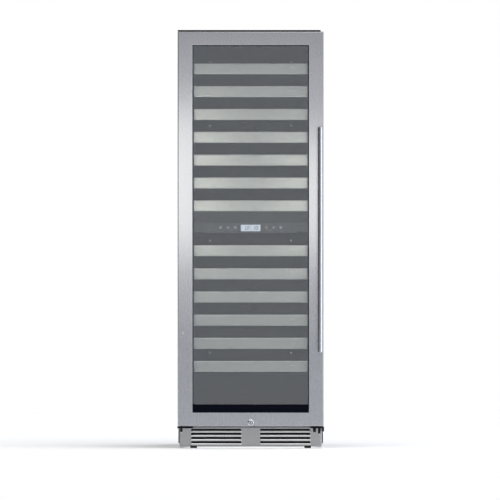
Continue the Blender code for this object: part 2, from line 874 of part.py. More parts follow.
def make_hinges():
    """Lower hinge plate, and the upper one that runs on as the trim over the door."""
    lower = corner_plate("lower_hinge_bracket", -OVERALL_HALF, -0.2350)
    join_box(lower, (-0.2900, -0.2660, 0.055), (-0.2400, -0.2628, BRACKET_LOW + 0.002))
    pin_low = (HINGE_X, HINGE_Y, BRACKET_LOW + 0.001)
    join_rod(lower, pin_low, (HINGE_X, HINGE_Y, DOOR_BOTTOM + 0.013), PIN_RADIUS, 12)
    nut_low = (HINGE_X, HINGE_Y, 0.067)
    join_rod(lower, nut_low, (HINGE_X, HINGE_Y, BRACKET_LOW + 0.002), 0.0055, 6)
    finish(lower, "black_paint")
    middle = (CASE_TOP + 0.0005 + FULL_HEIGHT) / 2
    thick = FULL_HEIGHT - CASE_TOP - 0.0005
    outline = [(-DOOR_HALF, -0.240), (-DOOR_HALF, STRIP_FRONT)]
    outline += arc((0.2815, STRIP_FRONT + 0.004), 0.004, -90, 0, 4)
    outline += [(0.2855, -0.240)]
    upper = slab("upper_hinge_bracket", outline, thick, plan_view(middle))
    lip_low = (-DOOR_HALF, STRIP_FRONT, DOOR_TOP + 0.001)
    join_box(upper, lip_low, (0.2815, STRIP_FRONT + 0.002, middle))
    pin_high = (HINGE_X, HINGE_Y, CASE_TOP + 0.002)
    join_rod(upper, pin_high, (HINGE_X, HINGE_Y, DOOR_TOP - 0.013), PIN_RADIUS, 12)
    finish(upper, "black_paint")


def make_support_bracket():
    """Plate at the latch side with a folded-down end and two bolts through it."""
    inside = BRACKET_LOW + 0.002
    bracket = corner_plate("door_support_bracket", 0.2440, OVERALL_HALF)
    join_box(bracket, (0.2915, BRACKET_FRONT, 0.069), (OVERALL_HALF, -0.2885, inside))
    join_box(bracket, (0.2460, -0.2660, 0.055), (0.2890, -0.2628, inside))
    for x, low, radius in ((0.2605, 0.0665, 0.0065), (0.2800, 0.0600, 0.0055)):
        join_rod(bracket, (x, -0.2955, low), (x, -0.2955, inside), radius, 6)
    return finish(bracket, "black_paint")


# Shelves


def shelf_levels():
    """Number and bottom edge of each shelf's front strip, from the top down."""
    levels = []
    for row in range(UPPER_COUNT):
        levels.append(UPPER_TOP - UPPER_PITCH * row - FASCIA_HEIGHT)
    for row in range(LOWER_COUNT):
        levels.append(LOWER_TOP - LOWER_PITCH * row - FASCIA_HEIGHT)
    return list(enumerate(levels, start=1))


def cradle_outline():
    """Front view of a cross bar with a shallow arc under each bottle."""
    reach = RACK_HALF - SIDE_BAR_WIDTH + 0.001
    center_z = CRADLE_LOW + BOTTLE_RADIUS
    rise = center_z - CRADLE_HIGH
    spread = math.degrees(math.acos(rise / BOTTLE_RADIUS))
    outline = [(-reach, 0.001), (reach, 0.001), (reach, CRADLE_HIGH)]
    for number in reversed(range(BOTTLES_PER_ROW)):
        x = (number - (BOTTLES_PER_ROW - 1) / 2) * BOTTLE_PITCH
        outline += arc((x, center_z), BOTTLE_RADIUS, -90 + spread, -90 - spread, 4)
    outline.append((-reach, CRADLE_HIGH))
    return outline


def rack_mesh():
    """Frame of two side bars, plain end bars and two scalloped cradles, bottom edge at z = 0."""
    inner = RACK_HALF - SIDE_BAR_WIDTH
    left_low = (-RACK_HALF, RACK_FRONT, 0.0)
    rack = box("rack_pattern", left_low, (-inner, RACK_BACK, SIDE_BAR_HEIGHT), CUTTERS)
    right_low = (inner, RACK_FRONT, 0.0)
    join_box(rack, right_low, (RACK_HALF, RACK_BACK, SIDE_BAR_HEIGHT))
    bar_half, bar_top = inner + 0.002, SIDE_BAR_HEIGHT - 0.001
    for y in (RACK_FRONT + 0.0005, RACK_BACK - 0.0005 - CROSS_BAR_WIDTH):
        low = (-bar_half, y, 0.001)
        join_box(rack, low, (bar_half, y + CROSS_BAR_WIDTH, bar_top))
    for y in CRADLES_AT:
        frame = front_view(y)
        join(rack, slab("rack_cradle", cradle_outline(), CRADLE_THICK, frame, CUTTERS))
    bpy.context.view_layer.update()
    pattern = meshed("rack", rack, CUTTERS)
    mesh = pattern.data
    mesh.transform(pattern.matrix_world)
    bpy.data.objects.remove(pattern)
    hide_guide(rack)
    return mesh


def fascia(name, bottom):
    """Front strip: a steel channel, open at the back."""
    top = bottom + FASCIA_HEIGHT
    low = (-FASCIA_HALF, FASCIA_FRONT, bottom)
    strip = box(name, low, (FASCIA_HALF, FASCIA_BACK, top))
    wall = 0.0012
    low = (-FASCIA_HALF + wall, FASCIA_FRONT + wall, bottom + wall)
    cut_box(strip, low, (FASCIA_HALF - wall, FASCIA_BACK + 0.005, top - wall))
    return finish(strip, "shelf_steel")


def make_shelves():
    shared = rack_mesh()
    for number, bottom in shelf_levels():
        label = f"shelf_{number:02d}"
        runner = axis_empty(label + "_runner", (0, FASCIA_FRONT, bottom))
        rack = place_mesh(label + "_rack", shared.copy(), (0, 0, bottom), PARTS)
        finish(rack, "rack_black")
        hang_on(runner, [rack, fascia(label + "_fascia", bottom)])


# Base


def make_kick_plate():
    """Folded plate with rounded lower corners, four air slots on each side, a notch over each
    front foot, and a slot in its upper edge that the lock's cam swings down through."""
    outline = [(KICK_HALF, KICK_TOP), (-KICK_HALF, KICK_TOP)]
    corner_z = KICK_BOTTOM + KICK_CORNER
    corner_x = KICK_HALF - KICK_CORNER
    outline += arc((-corner_x, corner_z), KICK_CORNER, 180, 270, 4)
    outline += arc((corner_x, corner_z), KICK_CORNER, 270, 360, 4)
    middle, depth = (KICK_FRONT + KICK_BACK) / 2, KICK_BACK - KICK_FRONT
    plate = slab("kick_plate", outline, depth, front_view(middle))
    inner = KICK_HALF - KICK_SKIN
    low = (-inner, KICK_FRONT + KICK_SKIN, KICK_BOTTOM + 0.009)
    cut_box(plate, low, (inner, KICK_BACK + 0.01, KICK_TOP - KICK_SKIN))
    low = (-corner_x, KICK_FRONT + KICK_SKIN, KICK_BOTTOM + KICK_SKIN)
    cut_box(plate, low, (corner_x, KICK_BACK + 0.01, KICK_BOTTOM + 0.012))
    slots = []
    for side in (-1, 1):
        for row in range(SLOT_COUNT):
            z = SLOT_FIRST_Z + SLOT_PITCH * row - SLOT_HEIGHT / 2
            across = sorted((side * SLOT_INNER_X, side * (SLOT_INNER_X + SLOT_LENGTH)))
            low = (across[0], KICK_FRONT - 0.01, z)
            slots.append((low, (across[1], KICK_FRONT + 0.01, z + SLOT_HEIGHT)))
    cut(plate, many_boxes("kick_plate_slots", slots))
    low = (CAM_SLOT_LEFT, CAM_FRONT - 0.0004, KICK_TOP - 0.01)
    cut_box(plate, low, (CAM_SLOT_RIGHT, CAM_FRONT + 0.006, KICK_TOP + 0.01))
    for x in (-FOOT_X, FOOT_X):
        low = (x - NOTCH_HALF, KICK_FRONT - 0.01, KICK_BOTTOM - 0.01)
        cut_box(plate, low, (x + NOTCH_HALF, KICK_BACK + 0.01, NOTCH_TOP))
    return finish(plate, "stainless")


def foot_places():
    return [(x, y) for y in (FOOT_FRONT_Y, FOOT_BACK_Y) for x in (-FOOT_X, FOOT_X)]


def make_feet():
    """Levelling feet: pad, hex collar under the base plate, and threaded stem."""
    names = ("foot_front_left", "foot_front_right", "foot_rear_left", "foot_rear_right")
    collar_top = CASE_BOTTOM - GAP
    for name, (x, y) in zip(names, foot_places()):
        foot = turned(
            name,
            [
                (0.0, 0.058),
                (STEM_RADIUS, 0.058),
                (STEM_RADIUS, collar_top),
                (0.009, collar_top),
                (0.009, 0.0105),
                (0.0125, 0.0095),
                (0.015, 0.0020),
                (0.0145, 0.0),
                (0.0, 0.0),
            ],
            (x, y, 0.0),
            steps=12,
        )
        finish(foot, "rubber")


def build():
    make_case_wrapper()
    make_back_panel()
    make_base_plate()
    make_insulation()
    make_inner_liner()
    make_zone_divider()
    make_control_panel()
    make_display()
    make_cooling()
    make_door()
    make_hinges()
    make_support_bracket()
    make_shelves()
    make_kick_plate()
    make_feet()


build()
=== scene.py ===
"""Looks of the tall two-zone wine cooler: fine meshes, materials, light and camera.

Metres, in the CAD frame: -Y is the front, +X the handle side, the floor is z = 0. Pieces are placed
from the CAD nodes' boxes.
"""

import math

import bmesh
import bpy
from mathutils import Matrix, Vector


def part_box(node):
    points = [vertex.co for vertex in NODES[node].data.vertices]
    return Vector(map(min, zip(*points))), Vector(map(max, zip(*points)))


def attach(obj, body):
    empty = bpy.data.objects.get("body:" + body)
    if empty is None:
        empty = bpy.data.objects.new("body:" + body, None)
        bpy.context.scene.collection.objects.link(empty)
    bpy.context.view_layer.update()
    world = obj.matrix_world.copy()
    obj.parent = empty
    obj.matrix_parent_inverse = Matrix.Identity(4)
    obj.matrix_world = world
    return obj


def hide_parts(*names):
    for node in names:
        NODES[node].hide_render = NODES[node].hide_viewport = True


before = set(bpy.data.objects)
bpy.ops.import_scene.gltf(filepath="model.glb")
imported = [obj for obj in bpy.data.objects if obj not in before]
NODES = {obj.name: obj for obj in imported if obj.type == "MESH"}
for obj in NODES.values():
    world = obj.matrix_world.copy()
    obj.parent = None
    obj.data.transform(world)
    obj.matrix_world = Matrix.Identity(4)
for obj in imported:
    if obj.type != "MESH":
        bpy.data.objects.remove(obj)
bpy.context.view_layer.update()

SHELVES = sorted(name[:8] for name in NODES if name.endswith("_fascia"))
FEET = sorted(name for name in NODES if name.startswith("foot_"))


# Materials


class Look:
    """A Principled material under construction, with texture helpers in object space."""

    def __init__(self, name, color, roughness, metallic=0.0):
        self.material = bpy.data.materials.new(name)
        self.material.use_nodes = True
        self.nodes = self.material.node_tree.nodes
        self.links = self.material.node_tree.links
        self.shader = self.nodes["Principled BSDF"]
        self.set("Base Color", (*color, 1.0))
        self.set("Roughness", roughness)
        self.set("Metallic", metallic)
        self.color = color
        self.place = self.nodes.new("ShaderNodeTexCoord").outputs["Object"]

    def set(self, socket, value):
        self.shader.inputs[socket].default_value = value

    def noise(self, scale, stretch=(1, 1, 1), detail=3.0):
        """Noise of scale cells a metre, multiplied by stretch along each axis."""
        mapping = self.nodes.new("ShaderNodeMapping")
        mapping.inputs["Scale"].default_value = stretch
        self.links.new(self.place, mapping.inputs["Vector"])
        texture = self.nodes.new("ShaderNodeTexNoise")
        texture.inputs["Scale"].default_value = scale
        texture.inputs["Detail"].default_value = detail
        self.links.new(mapping.outputs["Vector"], texture.inputs["Vector"])
        return texture.outputs["Fac"]

    def speckle(self, scale):
        """Rounded cells, for orange peel and pebbled plastic."""
        texture = self.nodes.new("ShaderNodeTexVoronoi")
        texture.inputs["Scale"].default_value = scale
        self.links.new(self.place, texture.inputs["Vector"])
        return texture.outputs["Distance"]

    def mixed(self, first, second, share):
        """Two textures in one, with share of the second."""
        mix = self.nodes.new("ShaderNodeMix")
        mix.inputs["Factor"].default_value = share
        self.links.new(first, mix.inputs["A"])
        self.links.new(second, mix.inputs["B"])
        return mix.outputs["Result"]

    def shade(self, factor, low, high, start=0.3, end=0.7):
        """Base colour from low to high times the look's own colour, as factor rises."""
        ramp = self.nodes.new("ShaderNodeValToRGB")
        for stop, level, place in zip(ramp.color_ramp.elements, (low, high), (start, end)):
            stop.position = place
            stop.color = (*(min(1.0, level * c) for c in self.color), 1.0)
        self.links.new(factor, ramp.inputs["Fac"])
        self.links.new(ramp.outputs["Color"], self.shader.inputs["Base Color"])

    def polish(self, factor, low, high):
        """Roughness from low to high as factor rises."""
        span = self.nodes.new("ShaderNodeMapRange")
        for socket, value in (("From Min", 0.3), ("From Max", 0.7), ("To Min", low), ("To Max", high)):
            span.inputs[socket].default_value = value
        self.links.new(factor, span.inputs["Value"])
        self.links.new(span.outputs["Result"], self.shader.inputs["Roughness"])

    def bump(self, height, distance, strength=0.5):
        bump = self.nodes.new("ShaderNodeBump")
        bump.inputs["Distance"].default_value = distance
        bump.inputs["Strength"].default_value = strength
        self.links.new(height, bump.inputs["Height"])
        self.links.new(bump.outputs["Normal"], self.shader.inputs["Normal"])


ALONG_X = (0.03, 1.0, 1.0)
ALONG_Y = (1.0, 0.03, 1.0)
ALONG_Z = (1.0, 1.0, 0.03)


def brushed(name, color, roughness, grain, contrast=0.05):
    """Brushed steel: fine scratches along the grain over broad, faint clouds."""
    look = Look(name, color, roughness, 1.0)
    scratches = look.noise(900.0, grain, 4.0)
    clouds = look.noise(9.0, (1, 1, 1), 3.0)
    both = look.mixed(scratches, clouds, 0.45)
    look.shade(both, 1.0 - contrast, 1.0 + contrast)
    look.polish(both, roughness - 0.012, roughness + 0.015)
    look.bump(scratches, 0.00003, 0.05)
    return look.material


def painted(name, color, roughness, peel=0.00006, gloss=0.5):
    """Sprayed steel with a fine orange peel."""
    look = Look(name, color, roughness)
    look.set("Specular IOR Level", gloss)
    clouds = look.noise(14.0, (1, 1, 1), 4.0)
    peel_noise = look.noise(520.0, (1, 1, 1), 2.0)
    look.shade(clouds, 0.85, 1.2)
    look.polish(clouds, roughness - 0.06, roughness + 0.08)
    look.bump(peel_noise, peel, 0.5)
    return look.material


def moulded(name, color, roughness, grain=700.0, depth=0.00008):
    """Moulded plastic or rubber with a pebbled grain."""
    look = Look(name, color, roughness)
    pebbles = look.speckle(grain)
    clouds = look.noise(22.0, (1, 1, 1), 3.0)
    look.shade(clouds, 0.86, 1.16)
    look.polish(clouds, roughness - 0.05, roughness + 0.06)
    look.bump(pebbles, depth, 0.5)
    return look.material


def unlit(name, color):
    """Deep black print with no gloss at all."""
    look = Look(name, color, 0.9)
    look.shade(look.noise(300.0), 0.85, 1.15)
    look.set("Specular IOR Level", 0.0)
    return look.material


def galvanised(name):
    """Zinc-coated sheet with its flaked spangle."""
    look = Look(name, (0.50, 0.52, 0.55), 0.42, 0.85)
    flakes = look.nodes.new("ShaderNodeTexVoronoi")
    flakes.inputs["Scale"].default_value = 90.0
    look.links.new(look.place, flakes.inputs["Vector"])
    tone = look.nodes.new("ShaderNodeSeparateColor")
    look.links.new(flakes.outputs["Color"], tone.inputs["Color"])
    clouds = look.noise(5.0, (1, 1, 1), 3.0)
    both = look.mixed(tone.outputs["Red"], clouds, 0.5)
    look.shade(both, 0.85, 1.12, 0.2, 0.8)
    look.polish(both, 0.34, 0.50)
    look.bump(look.noise(400.0), 0.00003, 0.3)
    return look.material


def polished(name, color, roughness):
    """Plated metal with faint wear."""
    look = Look(name, color, roughness, 1.0)
    wear = look.noise(260.0, (1, 1, 1), 5.0)
    look.shade(wear, 0.90, 1.04)
    look.polish(wear, roughness * 0.7, roughness * 1.5)
    look.bump(wear, 0.00002, 0.2)
    return look.material


def foam_look():
    look = Look("foam_cells", (0.72, 0.63, 0.42), 0.9)
    cells = look.speckle(450.0)
    look.shade(look.mixed(cells, look.noise(30.0), 0.5), 0.8, 1.15, 0.1, 0.8)
    look.bump(cells, 0.0006, 0.6)
    return look.material


def glass_look(name, tint, gloss_floor):
    """A clear pane: what is behind it is tinted, and the gloss grows towards grazing angles."""
    look = Look(name, (0.92, 0.94, 0.97), 0.03, 1.0)
    look.polish(look.noise(3.0), 0.015, 0.045)
    facing = look.nodes.new("ShaderNodeLayerWeight")
    facing.inputs["Blend"].default_value = 0.5
    grazing = look.nodes.new("ShaderNodeMath")
    grazing.operation = "POWER"
    grazing.inputs[1].default_value = 5.0
    look.links.new(facing.outputs["Facing"], grazing.inputs[0])
    gloss = look.nodes.new("ShaderNodeMapRange")
    gloss.inputs["To Min"].default_value = gloss_floor
    gloss.inputs["To Max"].default_value = 0.85
    look.links.new(grazing.outputs["Value"], gloss.inputs["Value"])
    clear = look.nodes.new("ShaderNodeBsdfTransparent")
    clear.inputs["Color"].default_value = (*tint, 1.0)
    mix = look.nodes.new("ShaderNodeMixShader")
    look.links.new(gloss.outputs["Result"], mix.inputs["Fac"])
    look.links.new(clear.outputs["BSDF"], mix.inputs[1])
    look.links.new(look.shader.outputs["BSDF"], mix.inputs[2])
    output = look.nodes["Material Output"]
    look.links.new(mix.outputs["Shader"], output.inputs["Surface"])
    return look.material


def glowing(name, color, glow, strength):
    """A lit diffuser, mottled a little over its length."""
    look = Look(name, color, 0.35)
    clouds = look.noise(60.0)
    look.shade(clouds, 0.92, 1.05)
    look.bump(look.noise(900.0), 0.00003, 0.3)
    look.set("Emission Color", (*glow, 1.0))
    look.set("Emission Strength", strength)
    return look.material


def make_looks():
    return {
        "door": brushed("door_steel", (0.405, 0.414, 0.440), 0.27, ALONG_Z, 0.018),
        "handle": brushed("handle_steel", (0.50, 0.515, 0.55), 0.20, ALONG_Z, 0.02),
        "kick": brushed("kick_steel", (0.35, 0.355, 0.358), 0.20, ALONG_X, 0.02),
        # Painted highlight: the louvre bars are the kick plate's steel, given a brighter, glossier
        # copy so that they carry a stronger highlight along their bulge.
        "louvre": brushed("louvre_steel_painted_highlight", (0.52, 0.525, 0.53), 0.16, ALONG_X, 0.02),
        "fascia": brushed("shelf_steel", (0.640, 0.645, 0.635), 0.26, ALONG_X, 0.03),
        "rail": brushed("rail_steel", (0.50, 0.51, 0.53), 0.30, ALONG_Y, 0.06),
        "case": painted("case_black", (0.018, 0.018, 0.020), 0.42),
        "bracket": painted("bracket_black", (0.0045, 0.0045, 0.0060), 0.42, 0.00004, 0.12),
        "compressor": painted("compressor_black", (0.014, 0.014, 0.016), 0.32, 0.00010),
        "rack": painted("rack_black", (0.022, 0.022, 0.025), 0.40, 0.00009),
        "zinc": galvanised("zinc_sheet"),
        "fins": brushed("fin_aluminium", (0.62, 0.63, 0.64), 0.40, ALONG_X, 0.08),
        "foam": foam_look(),
        "liner": moulded("liner_plastic", (0.022, 0.023, 0.025), 0.50),
        "duct": moulded("duct_plastic", (0.034, 0.035, 0.038), 0.48),
        "core": moulded("door_plastic", (0.020, 0.020, 0.022), 0.45, 520.0),
        "panel": moulded("panel_plastic", (0.070, 0.073, 0.080), 0.34, 1100.0, 0.00003),
        "icon": moulded("icon_print", (0.40, 0.41, 0.43), 0.50, 1400.0, 0.00002),
        "digit": moulded("digit_print", (0.26, 0.28, 0.36), 0.40, 1400.0, 0.00002),
        "gasket": moulded("gasket_rubber", (0.030, 0.030, 0.033), 0.60, 900.0, 0.00004),
        "rubber": moulded("foot_rubber", (0.016, 0.016, 0.018), 0.70, 600.0, 0.00012),
        "plastic": moulded("fan_plastic", (0.030, 0.030, 0.033), 0.42, 800.0, 0.00004),
        "band": unlit("band_black", (0.0035, 0.0045, 0.0080)),
        "filter": moulded("filter_foam", (0.006, 0.006, 0.007), 0.85, 900.0, 0.0004),
        "seal": unlit("seal_black", (0.008, 0.020, 0.034)),
        "spacer": painted("spacer_black", (0.012, 0.016, 0.024), 0.35, 0.00002),
        "bead": brushed("bead_metal", (0.10, 0.105, 0.105), 0.45, ALONG_Z, 0.05),
        "chrome": polished("lock_chrome", (0.80, 0.81, 0.84), 0.12),
        "screw": polished("screw_zinc", (0.56, 0.57, 0.59), 0.26),
        "outer_glass": glass_look("outer_pane", (0.94, 0.945, 0.94), 0.088),
        "inner_glass": glass_look("inner_pane", (0.955, 0.96, 0.955), 0.066),
        "display": glowing("display_film", (0.45, 0.50, 0.58), (0.62, 0.68, 0.80), 0.72),
        "led": glowing("led_diffuser", (0.30, 0.30, 0.36), (0.62, 0.58, 1.0), 0.10),
    }


LOOKS = make_looks()

CAD_LOOKS = {
    "case_wrapper": "case",
    "back_panel": "zinc",
    "base_plate": "zinc",
    "insulation_foam": "foam",
    "inner_liner": "liner",
    "zone_divider": "liner",
    "control_panel": "panel",
    "display_window": "display",
    "air_duct_upper": "duct",
    "air_duct_lower": "duct",
    "compressor": "compressor",
    "condenser": "fins",
    "door_core": "core",
    "outer_glass": "outer_glass",
    "inner_glass": "inner_glass",
    "evaporator_fan_upper": "plastic",
    "evaporator_fan_lower": "plastic",
    "condenser_fan": "plastic",
    "upper_hinge_bracket": "bracket",
    "lower_hinge_bracket": "bracket",
    "door_support_bracket": "bracket",
}

BEVELS = {
    "case_wrapper": 0.0010,
    "control_panel": 0.0012,
    "display_window": 0.0008,
    "upper_hinge_bracket": 0.0003,
    "lower_hinge_bracket": 0.0004,
    "door_support_bracket": 0.0004,
    "zone_divider": 0.0012,
    "outer_glass": 0.0006,
    "inner_glass": 0.0006,
}


def dress_cad_nodes():
    """The CAD nodes that stay on show get their looks, and some a soft edge."""
    for name, look in CAD_LOOKS.items():
        mesh = NODES[name].data
        mesh.materials.clear()
        mesh.materials.append(LOOKS[look])
    for name, width in BEVELS.items():
        weld = NODES[name].modifiers.new("weld", "WELD")
        weld.merge_threshold = 0.00001
        bevel = NODES[name].modifiers.new("soft_edges", "BEVEL")
        bevel.width = width
        bevel.segments = 3
        bevel.limit_method = "ANGLE"
        bevel.angle_limit = math.radians(40)
        bevel.harden_normals = True


# Shapes: each add_ function puts a closed solid into a bmesh


def add_block(shape, low, high, rounding=0.0, segments=3):
    """A box with rounded edges."""
    low, high = Vector(low), Vector(high)
    verts = bmesh.ops.create_cube(shape, size=1.0)["verts"]
    bmesh.ops.scale(shape, vec=high - low, verts=verts)
    bmesh.ops.translate(shape, vec=(low + high) / 2, verts=verts)
    if rounding:
        edges = list({edge for vert in verts for edge in vert.link_edges})
        bmesh.ops.bevel(
            shape,
            geom=edges,
            offset=rounding,
            segments=segments,
            profile=0.5,
            affect="EDGES",
            clamp_overlap=True,
        )


def add_lathe(shape, profile, place, steps=40):
    """(radius, height) points turned about Z, then put in place. A profile starts and ends on the
    axis, or comes back to its first point."""
    rings = []
    for radius, height in profile:
        if radius < 1e-7:
            rings.append([shape.verts.new(place @ Vector((0, 0, height)))])
            continue
        ring = []
        for step in range(steps):
            angle = 2 * math.pi * step / steps
            point = Vector((radius * math.cos(angle), radius * math.sin(angle), height))
            ring.append(shape.verts.new(place @ point))
        rings.append(ring)
    for first, second in zip(rings, rings[1:]):
        join_rings(shape, first, second, steps)


def join_rings(shape, first, second, steps):
    for step in range(steps):
        after = (step + 1) % steps
        if len(first) == 1:
            shape.faces.new((first[0], second[step], second[after]))
        elif len(second) == 1:
            shape.faces.new((first[step], first[after], second[0]))
        else:
            shape.faces.new((first[step], first[after], second[after], second[step]))


def aimed(start, direction):
    """Matrix that puts local Z along direction, starting at start."""
    turn = Vector(direction).to_track_quat("Z", "Y").to_matrix().to_4x4()
    return Matrix.Translation(start) @ turn


def add_rod(shape, start, end, radius, edge=0.0005, steps=32):
    """A round bar with softened ends."""
    length = (Vector(end) - Vector(start)).length
    profile = [
        (0.0, 0.0),
        (radius - edge, 0.0),
        (radius - edge * 0.3, edge * 0.3),
        (radius, edge),
        (radius, length - edge),
        (radius - edge * 0.3, length - edge * 0.3),
        (radius - edge, length),
        (0.0, length),
    ]
    add_lathe(shape, profile, aimed(start, Vector(end) - Vector(start)), steps)


def add_ring(shape, profile):
    """A closed profile of (rectangle, growth, y) points swept round the door's plane. A rectangle
    is (half width, low z, high z), and growth pushes its sides outwards."""
    loops = []
    for (half, low, high), growth, y in profile:
        x, bottom, top = half + growth, low - growth, high + growth
        corners = ((-x, y, bottom), (x, y, bottom), (x, y, top), (-x, y, top))
        loops.append([shape.verts.new(corner) for corner in corners])
    for number, loop in enumerate(loops):
        after = loops[(number + 1) % len(loops)]
        for side in range(4):
            far = (side + 1) % 4
            shape.faces.new((loop[side], loop[far], after[far], after[side]))


def add_extrusion(shape, outline, start, end, place):
    """A closed outline of (u, v) points run along local Z from start to end, with flat ends."""
    ends = []
    for height in (start, end):
        ends.append([shape.verts.new(place @ Vector((u, v, height))) for u, v in outline])
    shape.faces.new(ends[0])
    shape.faces.new(list(reversed(ends[1])))
    for number in range(len(outline)):
        after = (number + 1) % len(outline)
        shape.faces.new((ends[0][number], ends[0][after], ends[1][after], ends[1][number]))


ACROSS_Y = Matrix(((1, 0, 0, 0), (0, 0, 1, 0), (0, 1, 0, 0), (0, 0, 0, 1)))


def arc(center, radius, start, end, steps):
    """Points on an arc, ends included; angles in degrees."""
    points = []
    for step in range(steps + 1):
        angle = math.radians(start + (end - start) * step / steps)
        x = center[0] + radius * math.cos(angle)
        points.append((x, center[1] + radius * math.sin(angle)))
    return points


def add_screw(shape, place, radius, height):
    """Pan head with a round socket; place puts its seat at the origin, facing +Z."""
    socket = radius * 0.42
    profile = [
        (0.0, height * 0.35),
        (socket, height * 0.35),
        (socket * 1.05, height * 0.98),
        (radius * 0.62, height),
        (radius * 0.88, height * 0.78),
        (radius, height * 0.40),
        (radius, 0.0),
        (0.0, 0.0),
    ]
    add_lathe(shape, profile, place, 20)


def as_mesh(name, shape, look, angle=35):
    bmesh.ops.recalc_face_normals(shape, faces=shape.faces)
    mesh = bpy.data.meshes.new(name)
    shape.to_mesh(mesh)
    shape.free()
    mesh.shade_smooth()
    mesh.set_sharp_from_angle(angle=math.radians(angle))
    mesh.materials.append(LOOKS[look])
    return mesh


def show(name, mesh, body, stands_for=(), location=(0, 0, 0)):
    """Puts a mesh in the scene as a piece that rides on a body."""
    piece = bpy.data.objects.new(name, mesh)
    piece.location = location
    bpy.context.scene.collection.objects.link(piece)
    shading = piece.modifiers.new("even_shading", "WEIGHTED_NORMAL")
    shading.keep_sharp = True
    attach(piece, body)
    if stands_for:
        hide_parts(*stands_for)
    return piece


def carved(name, mesh, cutter_shape, look):
    """The mesh with the cutter's solids taken out of it."""
    body = bpy.data.objects.new(name + "_whole", mesh)
    cutter = bpy.data.objects.new(name + "_cutter", as_mesh(name + "_cutter", cutter_shape, look))
    for thing in (body, cutter):
        bpy.context.scene.collection.objects.link(thing)
    step = body.modifiers.new("cut", "BOOLEAN")
    step.operation = "DIFFERENCE"
    step.object = cutter
    step.solver = "EXACT"
    step.use_self = True
    evaluated = body.evaluated_get(bpy.context.evaluated_depsgraph_get())
    result = bpy.data.meshes.new_from_object(evaluated)
    result.name = name
    for thing in (body, cutter):
        bpy.data.objects.remove(thing)
    result.materials.clear()
    result.materials.append(LOOKS[look])
    result.shade_smooth()
    result.set_sharp_from_angle(angle=math.radians(35))
    return result


# Door


DOOR_LOW, DOOR_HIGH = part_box("door_frame")
PANE_LOW, PANE_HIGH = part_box("outer_glass")
PANE_OVERLAP = 0.0095
DOOR_EDGE = (DOOR_HIGH.x, DOOR_LOW.z, DOOR_HIGH.z)
WINDOW = (PANE_HIGH.x - PANE_OVERLAP, PANE_LOW.z + PANE_OVERLAP, PANE_HIGH.z - PANE_OVERLAP)
LOCK_LOW, LOCK_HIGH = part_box("lock_housing")
LOCK_Z = (LOCK_LOW.z + LOCK_HIGH.z) / 2
HINGE_X, HINGE_Y = -0.283, -0.293
PIN_HOLE_RADIUS = 0.0046
LOCK_HOLE_RADIUS = 0.0090
TUBE_RADIUS = 0.0085
SPACER_LIP = 0.004
BAND_HEIGHT = 0.0335
PLUG_X = -0.276
PLUG_HEIGHTS = (1.305, 0.470)


def swept_arc(rectangle, radius, y, inward, steps=6, turn=1):
    """Quarter circle of (rectangle, growth, y) points between a side and the front face."""
    points = []
    for step in range(steps + 1):
        angle = math.pi / 2 * step / steps
        if turn < 0:
            angle = math.pi / 2 - angle
        growth = inward * radius * (1 - math.cos(angle))
        points.append((rectangle, growth, y + radius * (1 - math.sin(angle))))
    return points


def make_door_skin():
    """Folded steel frame: rounded outer edges and a short return into the window, with holes for
    the hinge pins and the lock, and a slot that the lock's cam swings down through."""
    front, back = DOOR_LOW.y, DOOR_HIGH.y
    outer_radius, inner_radius, thick = 0.0040, 0.0014, 0.0008
    outer, inner = DOOR_EDGE, WINDOW
    profile = [(outer, 0.0, back)]
    profile += swept_arc(outer, outer_radius, front, -1)
    profile += swept_arc(inner, inner_radius, front, 1, 4, -1)
    end = PANE_LOW.y - 0.0002
    profile += [(inner, 0.0, end), (inner, thick, end), (inner, thick + 0.0004, front + thick)]
    inner_front = front + thick
    bend = swept_arc(outer, outer_radius - thick, inner_front, -1, 6, -1)
    profile += [(rectangle, growth - thick, y) for rectangle, growth, y in bend]
    profile.append((outer, -thick, back))
    shape = bmesh.new()
    add_ring(shape, profile)
    mesh = as_mesh("door_skin", shape, "door")
    holes = bmesh.new()
    for z in (DOOR_LOW.z, DOOR_HIGH.z):
        start, end = (HINGE_X, HINGE_Y, z - 0.006), (HINGE_X, HINGE_Y, z + 0.006)
        add_rod(holes, start, end, PIN_HOLE_RADIUS)
    add_rod(holes, (0, front - 0.01, LOCK_Z), (0, front + 0.01, LOCK_Z), LOCK_HOLE_RADIUS)
    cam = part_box("lock_barrel")[1]
    slot_low = (-0.012, cam.y - 0.0033, DOOR_LOW.z - 0.01)
    add_block(holes, slot_low, (cam.x + 0.004, cam.y + 0.0037, DOOR_LOW.z + 0.01))
    mesh = carved("door_skin", mesh, holes, "door")
    show("door_skin", mesh, "door", ["door_frame"])


